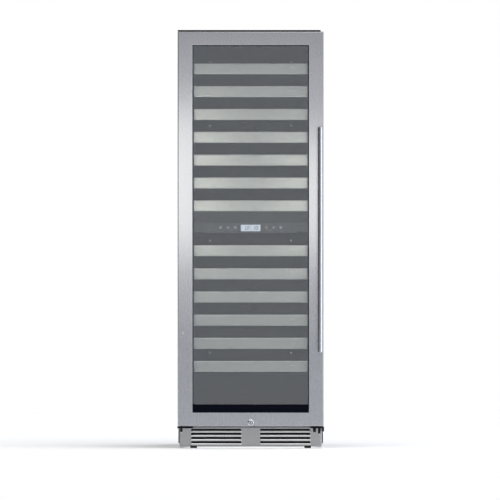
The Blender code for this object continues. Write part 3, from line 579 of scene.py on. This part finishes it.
def make_window_trim():
    """Spacer with its bright sealing bead, the black band across the foot of the window, and the
    black bead that closes the joint between steel and glass."""
    low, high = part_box("glass_spacer")
    half, bottom, top = WINDOW
    opening = (half - SPACER_LIP, bottom + SPACER_LIP, top - SPACER_LIP)
    outside = (high.x, low.z, high.z)
    shape = bmesh.new()
    edge = 0.0006
    add_ring(
        shape,
        [
            (outside, 0.0, low.y),
            (outside, 0.0, high.y),
            (opening, edge, high.y),
            (opening, 0.0, high.y - edge),
            (opening, 0.0, low.y + edge),
            (opening, edge, low.y),
        ],
    )
    mesh = as_mesh("glass_spacer_ring", shape, "spacer")
    show("glass_spacer_ring", mesh, "door", ["glass_spacer"])
    bead = bmesh.new()
    width, front = 0.0014, low.y + 0.001
    back = front + 0.0012
    corners = ((0.0, front), (0.0, back), (-width, back), (-width, front))
    add_ring(bead, [(opening, growth, y) for growth, y in corners])
    show("spacer_bead", as_mesh("spacer_bead", bead, "bead"), "door")
    seal = bmesh.new()
    pane_side = (half, bottom, top)
    seal_front, seal_back = DOOR_LOW.y + 0.0010, PANE_LOW.y - 0.0001
    add_ring(
        seal,
        [
            (pane_side, 0.0010, seal_front),
            (pane_side, 0.0010, seal_back),
            (pane_side, -0.0032, seal_back),
            (pane_side, -0.0026, seal_front + 0.0004),
            (pane_side, -0.0018, seal_front),
        ],
    )
    show("pane_seal", as_mesh("pane_seal", seal, "seal"), "door")
    band = bmesh.new()
    gap = 0.0004
    band_low = (-half + gap, DOOR_LOW.y + gap, bottom + gap)
    band_high = (half - gap, PANE_LOW.y - 0.0001, bottom + BAND_HEIGHT)
    add_block(band, band_low, band_high, gap, 2)
    show("window_band", as_mesh("window_band", band, "band"), "door")


def make_gasket():
    """Magnetic seal: a flat foot on the door, a folded bellows and the magnet's box."""
    low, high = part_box("door_gasket")
    outside = (high.x, low.z, high.z)
    width = 0.019
    front, back = low.y, high.y
    profile = [
        (-0.0010, front),
        (-0.0018, front + 0.0004),
        (-0.0018, front + 0.0016),
        (-0.0035, front + 0.0026),
        (-0.0022, front + 0.0036),
        (-0.0004, back - 0.0030),
        (0.0, back - 0.0024),
        (0.0, back - 0.0006),
        (-0.0006, back),
        (-width + 0.0006, back),
        (-width, back - 0.0006),
        (-width, back - 0.0024),
        (-width + 0.0004, back - 0.0030),
        (-width + 0.0024, front + 0.0036),
        (-width + 0.0042, front + 0.0026),
        (-width + 0.0024, front + 0.0016),
        (-width + 0.0024, front + 0.0004),
        (-width + 0.0030, front),
    ]
    shape = bmesh.new()
    add_ring(shape, [(outside, growth, y) for growth, y in profile])
    mesh = as_mesh("door_seal", shape, "gasket", 50)
    show("door_seal", mesh, "door", ["door_gasket"])


def make_handle():
    """Round bar on two waisted posts, each with a collar and a thin black washer against the door,
    wider than the post so that its rim paints the post's shade.
    """
    low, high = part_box("handle_bar")
    x, y = (low.x + high.x) / 2, (low.y + high.y) / 2
    radius = (high.x - low.x) / 2
    bar = bmesh.new()
    add_rod(bar, (x, y, low.z), (x, y, high.z), radius, 0.0012, 64)
    show("handle_tube", as_mesh("handle_tube", bar, "handle"), "door", ["handle_bar"])
    for name in ("handle_post_upper", "handle_post_lower"):
        post_low, post_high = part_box(name)
        z = (post_low.z + post_high.z) / 2
        post_radius = (post_high.z - post_low.z) / 2
        length = (post_high.y - y) - radius * 0.6
        profile = [
            (0.0, 0.0),
            (post_radius + 0.0038, 0.0),
            (post_radius + 0.0042, 0.0006),
            (post_radius + 0.0042, 0.0030),
            (post_radius + 0.0032, 0.0040),
            (post_radius, 0.0044),
            (post_radius * 0.90, length * 0.45),
            (post_radius * 0.90, length * 0.60),
            (post_radius, length),
            (0.0, length),
        ]
        post = bmesh.new()
        add_lathe(post, profile, aimed((x, post_high.y, z), (0, -1, 0)), 40)
        piece = name.replace("handle_", "grip_")
        show(piece, as_mesh(piece, post, "handle"), "door", [name])
        # Painted shade: a real washer, made black and 4.8 mm wider than the post so that its rim
        # stands in for the shade the post throws on the door.
        shade_washer = bmesh.new()
        base = (x, post_high.y, z)
        add_rod(shade_washer, base, (x, post_high.y - 0.0012, z), post_radius + 0.0048, 0.0003, 40)
        show(piece + "_washer", as_mesh(piece + "_washer", shade_washer, "gasket"), "door")


def make_lock():
    """Chromed escutcheon round the barrel, which keeps its keyway and cam."""
    face_radius = (LOCK_HIGH.x - LOCK_LOW.x) / 2
    barrel_radius = 0.0063
    depth = DOOR_LOW.y - LOCK_LOW.y
    tube_end = LOCK_HIGH.y - LOCK_LOW.y
    profile = [
        (barrel_radius, 0.0022),
        (face_radius - 0.0044, 0.0018),
        (face_radius - 0.0036, 0.0004),
        (face_radius - 0.0030, 0.0),
        (face_radius - 0.0018, 0.0003),
        (face_radius - 0.0006, 0.0012),
        (face_radius, depth - 0.0004),
        (face_radius - 0.0004, depth - 0.0002),
        (TUBE_RADIUS, depth - 0.0002),
        (TUBE_RADIUS, tube_end),
        (barrel_radius, tube_end),
        (barrel_radius, 0.0022),
    ]
    shape = bmesh.new()
    add_lathe(shape, profile, aimed((0, LOCK_LOW.y, LOCK_Z), (0, 1, 0)), 56)
    bmesh.ops.remove_doubles(shape, verts=shape.verts, dist=0.00001)
    mesh = as_mesh("lock_escutcheon", shape, "chrome")
    show("lock_escutcheon", mesh, "door", ["lock_housing"])
    # Painted shade: a black ring laid over the escutcheon's sunken face round the barrel, standing in
    # for the shade in that recess.
    recess = bmesh.new()
    step = [(0.0064, 0.0012), (face_radius - 0.0042, 0.0012), (face_radius - 0.0042, 0.0024)]
    step += [(0.0064, 0.0024), (0.0064, 0.0012)]
    add_lathe(recess, step, aimed((0, LOCK_LOW.y, LOCK_Z), (0, 1, 0)), 48)
    bmesh.ops.remove_doubles(recess, verts=recess.verts, dist=0.00001)
    show("lock_recess_painted_shade", as_mesh("lock_recess_painted_shade", recess, "bracket"), "door")
    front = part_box("lock_barrel")[0].y
    insert = bmesh.new()
    low = (-0.0018, front - 0.0002, LOCK_Z - 0.0046)
    add_block(insert, low, (0.0018, front + 0.0012, LOCK_Z + 0.0046), 0.0002, 2)
    show("key_shutter", as_mesh("key_shutter", insert, "bracket"), "lock")
    NODES["lock_barrel"].data.materials.clear()
    NODES["lock_barrel"].data.materials.append(LOOKS["chrome"])


def make_stile_plugs():
    """Two small plugs in the hinge-side stile, over the holes for the other hand's handle."""
    shape = bmesh.new()
    for z in PLUG_HEIGHTS:
        place = aimed((PLUG_X, DOOR_LOW.y + 0.0002, z), (0, -1, 0))
        add_screw(shape, place, 0.0030, 0.0010)
    show("stile_plugs", as_mesh("stile_plugs", shape, "screw"), "door")


# Shelves


BOTTLE_PITCH, BOTTLE_RADIUS, BOTTLES = 0.078, 0.038, 6
CRADLE_LOW, CRADLE_RIDGE = 0.006, 0.022
CRADLES_AT = (-0.075, 0.085)
CRADLE_HALF_THICK = 0.003
WIRE_RADIUS, WIRE_Z = 0.0020, 0.0055
RUNNER_INNER, RUNNER_OUTER = 0.2442, 0.2490
RUNNER_FRONT, RUNNER_BACK = -0.225, 0.245


def fascia_mesh(half, depth, height):
    """Pressed steel channel with rounded front edges, its lower front edge at the origin."""
    shape = bmesh.new()
    radius, wall = 0.0042, 0.0012
    for inset in (0.0, wall):
        low = (-half + inset, inset, inset)
        add_block(shape, low, (half - inset, depth + 0.012, height - inset), radius - inset, 5)
    cut = bmesh.ops.bisect_plane(
        shape,
        geom=shape.verts[:] + shape.edges[:] + shape.faces[:],
        plane_co=(0, depth, 0),
        plane_no=(0, 1, 0),
        clear_outer=True,
    )
    rim = [edge for edge in cut["geom_cut"] if isinstance(edge, bmesh.types.BMEdge)]
    bmesh.ops.bridge_loops(shape, edges=rim)
    return as_mesh("fascia_channel", shape, "fascia", 40)


def cradle_outline(reach):
    """Cross bar with a shallow arc under each bottle, as (x, z) points."""
    center_z = CRADLE_LOW + BOTTLE_RADIUS
    spread = math.degrees(math.acos((center_z - CRADLE_RIDGE) / BOTTLE_RADIUS))
    outline = [(-reach, 0.001), (reach, 0.001), (reach, CRADLE_RIDGE)]
    for number in reversed(range(BOTTLES)):
        x = (number - (BOTTLES - 1) / 2) * BOTTLE_PITCH
        outline += arc((x, center_z), BOTTLE_RADIUS, -90 + spread, -90 - spread, 16)
    outline.append((-reach, CRADLE_RIDGE))
    return outline


def rack_mesh(half, front, back):
    """Shelf frame: two side bars, end bars, two scalloped cradles and the wires between them."""
    side_width, side_height, bar_width = 0.010, 0.012, 0.008
    inner = half - side_width
    shape = bmesh.new()
    for side in (-1, 1):
        left, right = sorted((side * half, side * inner))
        low, high = (left, front, 0.0), (right, back, side_height)
        add_block(shape, low, high, 0.0015, 3)
    for y in (front + 0.0005, back - 0.0005 - bar_width):
        add_block(shape, (-inner, y, 0.001), (inner, y + bar_width, side_height - 0.001), 0.0012, 2)
    outline = cradle_outline(inner)
    for y in CRADLES_AT:
        add_extrusion(shape, outline, y - CRADLE_HALF_THICK, y + CRADLE_HALF_THICK, ACROSS_Y)
    for number in range(BOTTLES - 1):
        x = (number - (BOTTLES - 2) / 2) * BOTTLE_PITCH
        start, end = (x, front + bar_width, WIRE_Z), (x, back - bar_width, WIRE_Z)
        add_rod(shape, start, end, WIRE_RADIUS, 0.0003, 12)
    return as_mesh("bottle_rack", shape, "rack", 40)


def make_shelves():
    low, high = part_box(SHELVES[0] + "_fascia")
    channel = fascia_mesh(high.x, high.y - low.y, high.z - low.z)
    rack_low, rack_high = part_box(SHELVES[0] + "_rack")
    rack = rack_mesh(rack_high.x, rack_low.y, rack_high.y)
    for shelf in SHELVES:
        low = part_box(shelf + "_fascia")[0]
        place = (0, low.y, low.z)
        show(shelf + "_front", channel.copy(), shelf, [shelf + "_fascia"], place)
        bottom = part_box(shelf + "_rack")[0].z
        show(shelf + "_frame", rack.copy(), shelf, [shelf + "_rack"], (0, 0, bottom))


def make_slides():
    """Steel runner strips along the liner's ribs."""
    shape = bmesh.new()
    for shelf in SHELVES:
        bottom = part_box(shelf + "_rack")[0].z
        for side in (-1, 1):
            left, right = sorted((side * RUNNER_INNER, side * RUNNER_OUTER))
            low = (left, RUNNER_FRONT, bottom + 0.0010)
            add_block(shape, low, (right, RUNNER_BACK, bottom + 0.0105), 0.0008, 2)
    show("shelf_runners", as_mesh("shelf_runners", shape, "rail"), "cabinet")


# Inside of the cabinet


PANEL_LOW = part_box("control_panel")[0]
DISPLAY_LOW, DISPLAY_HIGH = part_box("display_window")
KEYS_AT = (0.0635, 0.0930, 0.1230)
READINGS = ("12", "18")
SCREW_INSET = 0.012
LIGHT_HALF = 0.19
LIGHT_FRONT, LIGHT_BACK = -0.204, -0.190
SEGMENTS = {"0": "abcdef", "1": "bc", "2": "abged", "6": "acdefg", "8": "abcdefg"}


def add_digit(shape, digit, x, z, width, height, y):
    """Seven-segment digit, its lower left corner at x, z."""
    stroke, gap = height * 0.13, height * 0.03
    middle, top = z + height / 2, z + height
    right = x + width
    bars = {
        "a": ((x + gap, top - stroke), (right - gap, top)),
        "d": ((x + gap, z), (right - gap, z + stroke)),
        "g": ((x + gap, middle - stroke / 2), (right - gap, middle + stroke / 2)),
        "b": ((right - stroke, middle + gap), (right, top - gap)),
        "c": ((right - stroke, z + gap), (right, middle - gap)),
        "f": ((x, middle + gap), (x + stroke, top - gap)),
        "e": ((x, z + gap), (x + stroke, middle - gap)),
    }
    for name in SEGMENTS[digit]:
        (left, bottom), (far, upper) = bars[name]
        add_block(shape, (left, y - 0.0001, bottom), (far, y + 0.0004, upper))


def make_display():
    """Two readings on the display, one for each zone, with a line between them."""
    shape = bmesh.new()
    front = DISPLAY_LOW.y
    center = (DISPLAY_LOW.z + DISPLAY_HIGH.z) / 2
    height, width, pitch = 0.0155, 0.0105, 0.0140
    z = center - height / 2
    for side, text in zip((-1, 1), READINGS):
        left = side * 0.0180 - pitch / 2 - width / 2
        for number, digit in enumerate(text):
            add_digit(shape, digit, left + number * pitch, z, width, height, front)
    add_block(shape, (-0.0004, front - 0.0001, z), (0.0004, front + 0.0004, z + height))
    show("display_digits", as_mesh("display_digits", shape, "digit"), "cabinet")


def make_touch_keys():
    """Six printed key rings, three on each side, with a short line under each inner pair."""
    shape = bmesh.new()
    y = PANEL_LOW.y
    center = (DISPLAY_LOW.z + DISPLAY_HIGH.z) / 2 + 0.002
    for side in (-1, 1):
        for x in KEYS_AT:
            place = aimed((side * x, y + 0.0002, center), (0, -1, 0))
            dot_radius = 0.0040 if x == KEYS_AT[-1] else 0.0022
            rise = 0.00035
            dot = [(0.0, 0.0), (dot_radius, 0.0), (dot_radius, rise), (0.0, rise)]
            add_lathe(shape, dot, place, 24)
            ring = [(0.0044, 0.0), (0.0058, 0.0), (0.0058, rise), (0.0044, rise)]
            add_lathe(shape, ring + ring[:1], place, 32)
        middle = side * 0.078
        low = (middle - 0.006, y - 0.00015, center - 0.0122)
        add_block(shape, low, (middle + 0.006, y + 0.0003, center - 0.0110))
    bmesh.ops.remove_doubles(shape, verts=shape.verts, dist=0.000001)
    show("touch_keys", as_mesh("touch_keys", shape, "icon"), "cabinet")


def make_lights():
    """Diffuser strips under the ceiling and under the divider."""
    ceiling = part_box("inner_liner")[1].z - 0.0025
    divider_low = PANEL_LOW.z
    shape = bmesh.new()
    for z in (ceiling - 0.0005, divider_low - 0.0005):
        low = (-LIGHT_HALF, LIGHT_FRONT, z - 0.0014)
        add_block(shape, low, (LIGHT_HALF, LIGHT_BACK, z), 0.0006, 3)
    show("light_strips", as_mesh("light_strips", shape, "led"), "cabinet")


def make_inside_details():
    """Screws that hold the air ducts, and raised bottle rests on the floor."""
    screws = bmesh.new()
    for name in ("air_duct_upper", "air_duct_lower"):
        low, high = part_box(name)
        for x in (low.x + SCREW_INSET, high.x - SCREW_INSET):
            for z in (low.z + SCREW_INSET, (low.z + high.z) / 2, high.z - SCREW_INSET):
                add_screw(screws, aimed((x, low.y, z), (0, -1, 0)), 0.0042, 0.0020)
    show("duct_screws", as_mesh("duct_screws", screws, "screw"), "cabinet")
    rests = bmesh.new()
    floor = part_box("inner_liner")[0].z + 0.0025
    for number in range(7):
        x = (number - 3) * BOTTLE_PITCH
        add_block(rests, (x - 0.002, -0.245, floor), (x + 0.002, 0.095, floor + 0.004), 0.001, 2)
    show("floor_rests", as_mesh("floor_rests", rests, "liner"), "cabinet")


# Base and outside


LOUVRE_ROWS = 4
FIRST_SLOT, SLOT_PITCH, SLOT_HEIGHT = 0.0251, 0.0171, 0.0069
SLOT_INNER, SLOT_OUTER = 0.039, 0.2425
NOTCH_HALF, NOTCH_TOP = 0.0165, 0.0125
CAM_SLOT_LEFT, CAM_SLOT_RIGHT = -0.009, 0.0175
COLLAR_LOW, COLLAR_TOP = 0.0105, 0.0200
THREAD_PITCH, THREAD_ROOT, THREAD_CREST = 0.0015, 0.0042, 0.0050
BOLT_ENDS = ((0.2605, -0.2955, 0.0665), (0.2800, -0.2955, 0.0600), (HINGE_X, HINGE_Y, 0.067))
STRIP_SCREWS_AT = (-0.270, -0.235, -0.10, 0.05, 0.20, 0.268)


def make_kick_plate():
    """Pressed pan with rolled sides and foot: rounded louvre bars leave four air slots on each
    side, with a black dust filter and the cabinet's black toe sheet behind them. The lower edge is
    notched over the front feet."""
    low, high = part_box("kick_plate")
    roll, skin = 0.0055, 0.0016
    pan = bmesh.new()
    add_block(pan, low, (high.x, high.y + 0.02, high.z + 0.01), roll, 6)
    cuts = bmesh.new()
    add_block(cuts, (-1, high.y, -1), (1, high.y + 0.1, 1))
    add_block(cuts, (-1, low.y - 0.1, high.z), (1, high.y + 0.1, 1))
    inside_low = (low.x + skin, low.y + skin, low.z + skin)
    add_block(cuts, inside_low, (high.x - skin, high.y + 0.01, high.z - skin))
    bar_height = SLOT_PITCH - SLOT_HEIGHT
    bottom = FIRST_SLOT - SLOT_HEIGHT / 2 - bar_height + 0.0004
    top = FIRST_SLOT + SLOT_PITCH * (LOUVRE_ROWS - 1) + SLOT_HEIGHT / 2
    for side in (-1, 1):
        left, right = sorted((side * SLOT_INNER, side * SLOT_OUTER))
        add_block(cuts, (left, low.y - 0.01, bottom), (right, low.y + 0.010, top))
    start = (CAM_SLOT_LEFT, low.y + 0.0023, high.z - 0.010)
    add_block(cuts, start, (CAM_SLOT_RIGHT, high.y, high.z + 0.01))
    for name in FEET:
        foot_low, foot_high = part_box(name)
        if foot_low.y < 0:
            middle = (foot_low.x + foot_high.x) / 2
            start = (middle - NOTCH_HALF, low.y - 0.01, low.z - 0.01)
            add_block(cuts, start, (middle + NOTCH_HALF, high.y + 0.01, NOTCH_TOP))
    mesh = carved("kick_pan", as_mesh("kick_pan", pan, "kick"), cuts, "kick")
    show("kick_pan", mesh, "cabinet", ["kick_plate"])
    # The bars take the brighter louvre steel: a painted highlight on what is the same sheet as the
    # pan.
    bars = bmesh.new()
    for side in (-1, 1):
        left, right = sorted((side * SLOT_INNER, side * SLOT_OUTER))
        for row in range(LOUVRE_ROWS):
            z = FIRST_SLOT + SLOT_PITCH * row - SLOT_HEIGHT / 2 - bar_height
            start = (left - 0.0035, low.y - 0.0022, z)
            end = (right + 0.0035, low.y + 0.0085, z + bar_height)
            add_block(bars, start, end, bar_height * 0.46, 6)
    show("kick_louvres", as_mesh("kick_louvres", bars, "louvre"), "cabinet")
    dust = bmesh.new()
    start = (low.x + 0.005, high.y - 0.0080, low.z + 0.0060)
    add_block(dust, start, (high.x - 0.005, high.y - 0.0060, high.z - 0.0025), 0.0005, 2)
    show("dust_filter", as_mesh("dust_filter", dust, "filter"), "cabinet")
    case_low, case_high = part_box("case_wrapper")
    toe = bmesh.new()
    start = (case_low.x + 0.0004, case_low.y - 0.0012, case_low.z + 0.0004)
    add_block(toe, start, (case_high.x - 0.0004, case_low.y - 0.0002, high.z - 0.0004), 0.0003, 2)
    show("toe_sheet", as_mesh("toe_sheet", toe, "bracket"), "cabinet")


def make_feet():
    """Turned pads with a hex collar and a threaded stem."""
    for name in FEET:
        low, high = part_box(name)
        x, y = (low.x + high.x) / 2, (low.y + high.y) / 2
        pad = bmesh.new()
        profile = [
            (0.0, 0.0),
            (0.0122, 0.0),
            (0.0128, 0.0004),
            (0.0132, 0.0012),
            (0.0149, 0.0082),
            (0.0148, 0.0096),
            (0.0140, 0.0104),
            (0.0120, 0.0107),
            (0.0, 0.0107),
        ]
        add_lathe(pad, profile, Matrix.Translation((x, y, low.z)), 48)
        stem = bmesh.new()
        collar = [(0.0, COLLAR_LOW), (0.0082, COLLAR_LOW), (0.0090, COLLAR_LOW + 0.0008)]
        collar += [(0.0090, COLLAR_TOP - 0.0008), (0.0082, COLLAR_TOP), (0.0, COLLAR_TOP)]
        add_lathe(stem, collar, Matrix.Translation((x, y, low.z)), 6)
        thread = [(0.0, COLLAR_TOP)]
        first = COLLAR_TOP + 0.0002
        turns = int((high.z - low.z - COLLAR_TOP - 0.0005) / THREAD_PITCH)
        for turn in range(turns):
            thread.append((THREAD_ROOT, first + THREAD_PITCH * turn))
            thread.append((THREAD_CREST, first + THREAD_PITCH * (turn + 0.5)))
        last = first + THREAD_PITCH * turns
        thread += [(THREAD_ROOT, last), (0.0, last)]
        add_lathe(stem, thread, Matrix.Translation((x, y, low.z)), 24)
        show(name + "_pad", as_mesh(name + "_pad", pad, "rubber"), name, [name])
        show(name + "_stem", as_mesh(name + "_stem", stem, "screw"), name)


def make_outside_screws():
    """Round-head screws in the rear sheet and the hinge strip, and the lower plates' bolt ends."""
    low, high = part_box("back_panel")
    rear = bmesh.new()
    places = []
    for x in (low.x + SCREW_INSET, high.x - SCREW_INSET):
        places += [(x, low.z + 0.02 + (high.z - low.z - 0.04) * step / 6) for step in range(7)]
    for z in (low.z + SCREW_INSET, high.z - SCREW_INSET):
        places += [(x, z) for x in (-0.14, 0.0, 0.14)]
    for x, z in places:
        add_screw(rear, aimed((x, high.y - 0.0012, z), (0, 1, 0)), 0.0040, 0.0012)
    show("rear_screws", as_mesh("rear_screws", rear, "screw"), "cabinet")
    strip_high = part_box("upper_hinge_bracket")[1]
    top = bmesh.new()
    for x in STRIP_SCREWS_AT:
        place = aimed((x, strip_high.y - 0.010, strip_high.z - 0.0016), (0, 0, 1))
        add_screw(top, place, 0.0042, 0.0016)
    show("strip_screws", as_mesh("strip_screws", top, "bracket"), "cabinet")
    tips = bmesh.new()
    for x, y, z in BOLT_ENDS:
        add_rod(tips, (x, y, z + 0.001), (x, y, z - 0.0035), 0.0030, 0.0006, 20)
    show("bolt_tips", as_mesh("bolt_tips", tips, "screw"), "cabinet")


# Studio


FLOOR_HALF = 6.0
CAMERA_PLACE = (-0.0027, -30.315, 0.809)
LENS = 530.0
WARM = (1.0, 0.965, 0.90)


def area_light(name, location, target, size, power, color=(1, 1, 1)):
    data = bpy.data.lights.new(name, "AREA")
    data.shape = "RECTANGLE"
    data.size, data.size_y = size
    data.energy = power
    data.color = color
    light = bpy.data.objects.new(name, data)
    light.location = location
    light.rotation_mode = "QUATERNION"
    light.rotation_quaternion = (Vector(target) - Vector(location)).to_track_quat("-Z", "Y")
    bpy.context.scene.collection.objects.link(light)
    light.visible_camera = False
    return light


def link_light(light, receivers, state):
    """INCLUDE: the light falls on the receivers only. EXCLUDE: on everything but them."""
    group = bpy.data.collections.new(light.name + "_receivers")
    light.light_linking.receiver_collection = group
    for thing in receivers:
        group.objects.link(thing)
    for member in group.collection_objects:
        member.light_linking.link_state = state


def make_studio(floor):
    """Soft boxes in front that stay out of the panes and the handle bar, a strip that draws the
    bar's highlight, a broad overhead light and a fill for the floor under the cabinet."""
    scene = bpy.context.scene
    scene.view_settings.view_transform = "Standard"
    scene.cycles.transparent_max_bounces = 24
    world = bpy.data.worlds.new("studio")
    scene.world = world
    world.use_nodes = True
    nodes, links = world.node_tree.nodes, world.node_tree.links
    dim = nodes["Background"]
    dim.inputs["Color"].default_value = (0.95, 0.965, 1.02, 1.0)
    white = nodes.new("ShaderNodeBackground")
    white.inputs["Color"].default_value = (1, 1, 1, 1)
    rays = nodes.new("ShaderNodeLightPath")
    mix = nodes.new("ShaderNodeMixShader")
    direction = nodes.new("ShaderNodeTexCoord")
    axes = nodes.new("ShaderNodeSeparateXYZ")
    links.new(direction.outputs["Generated"], axes.inputs["Vector"])
    side = nodes.new("ShaderNodeMapRange")
    ends = {"From Min": -0.85, "From Max": 0.85, "To Min": 0.06, "To Max": 1.06}
    for socket, value in ends.items():
        side.inputs[socket].default_value = value
    links.new(axes.outputs["X"], side.inputs["Value"])
    links.new(side.outputs["Result"], dim.inputs["Strength"])
    links.new(rays.outputs["Is Camera Ray"], mix.inputs["Fac"])
    links.new(dim.outputs["Background"], mix.inputs[1])
    links.new(white.outputs["Background"], mix.inputs[2])
    links.new(mix.outputs["Shader"], nodes["World Output"].inputs["Surface"])
    sun = bpy.data.lights.new("overhead", "SUN")
    sun.energy = 1.95
    sun.angle = math.radians(75)
    overhead = bpy.data.objects.new("overhead", sun)
    overhead.rotation_euler = (math.radians(12), 0, 0)
    scene.collection.objects.link(overhead)
    boxes = (
        area_light("left_box", (-0.37, -1.35, 1.10), (-0.37, 0, 1.10), (0.50, 0.62), 1.35, WARM),
        area_light("right_box", (0.33, -1.35, 1.05), (0.33, 0, 1.05), (0.43, 0.50), 0.85, WARM),
        area_light("halo_box", (-0.02, -1.6, 1.12), (-0.02, 0, 1.12), (1.15, 1.2), 1.5, WARM),
    )
    rim = area_light("rim_strip", (1.7, -1.3, 0.85), (0.28, -0.35, 0.85), (0.45, 1.9), 9.5)
    panes = [NODES["outer_glass"], NODES["inner_glass"]]
    for light in (overhead, rim):
        link_light(light, panes, "EXCLUDE")
    for light in boxes:
        link_light(light, [*panes, bpy.data.objects["handle_tube"]], "EXCLUDE")
    fill = area_light("under_fill", (0, -0.10, 0.0198), (0, -0.10, 0), (0.54, 0.36), 0.40)
    link_light(fill, [floor], "INCLUDE")


def make_floor():
    """Pale floor, small enough that the panes never mirror it towards the camera."""
    shape = bmesh.new()
    bmesh.ops.create_grid(shape, x_segments=8, y_segments=8, size=FLOOR_HALF)
    look = Look("floor_pale", (0.93, 0.93, 0.93), 0.8)
    look.shade(look.noise(1.5), 0.99, 1.01)
    mesh = bpy.data.meshes.new("floor")
    shape.to_mesh(mesh)
    shape.free()
    mesh.materials.append(look.material)
    floor = bpy.data.objects.new("floor", mesh)
    bpy.context.scene.collection.objects.link(floor)
    return floor


def make_camera():
    """A long lens far away, a little below half the object's height: the front shows almost
    square-on."""
    data = bpy.data.cameras.new("camera")
    data.sensor_width = 36.0
    data.lens = LENS
    data.clip_end = 200.0
    camera = bpy.data.objects.new("camera", data)
    camera.location = CAMERA_PLACE
    camera.rotation_euler = (math.pi / 2, 0, 0)
    bpy.context.scene.collection.objects.link(camera)
    bpy.context.scene.camera = camera


make_camera()
dress_cad_nodes()
make_door_skin()
make_window_trim()
make_gasket()
make_handle()
make_lock()
make_stile_plugs()
make_shelves()
make_slides()
make_display()
make_touch_keys()
make_lights()
make_inside_details()
make_kick_plate()
make_feet()
make_outside_screws()
make_studio(make_floor())
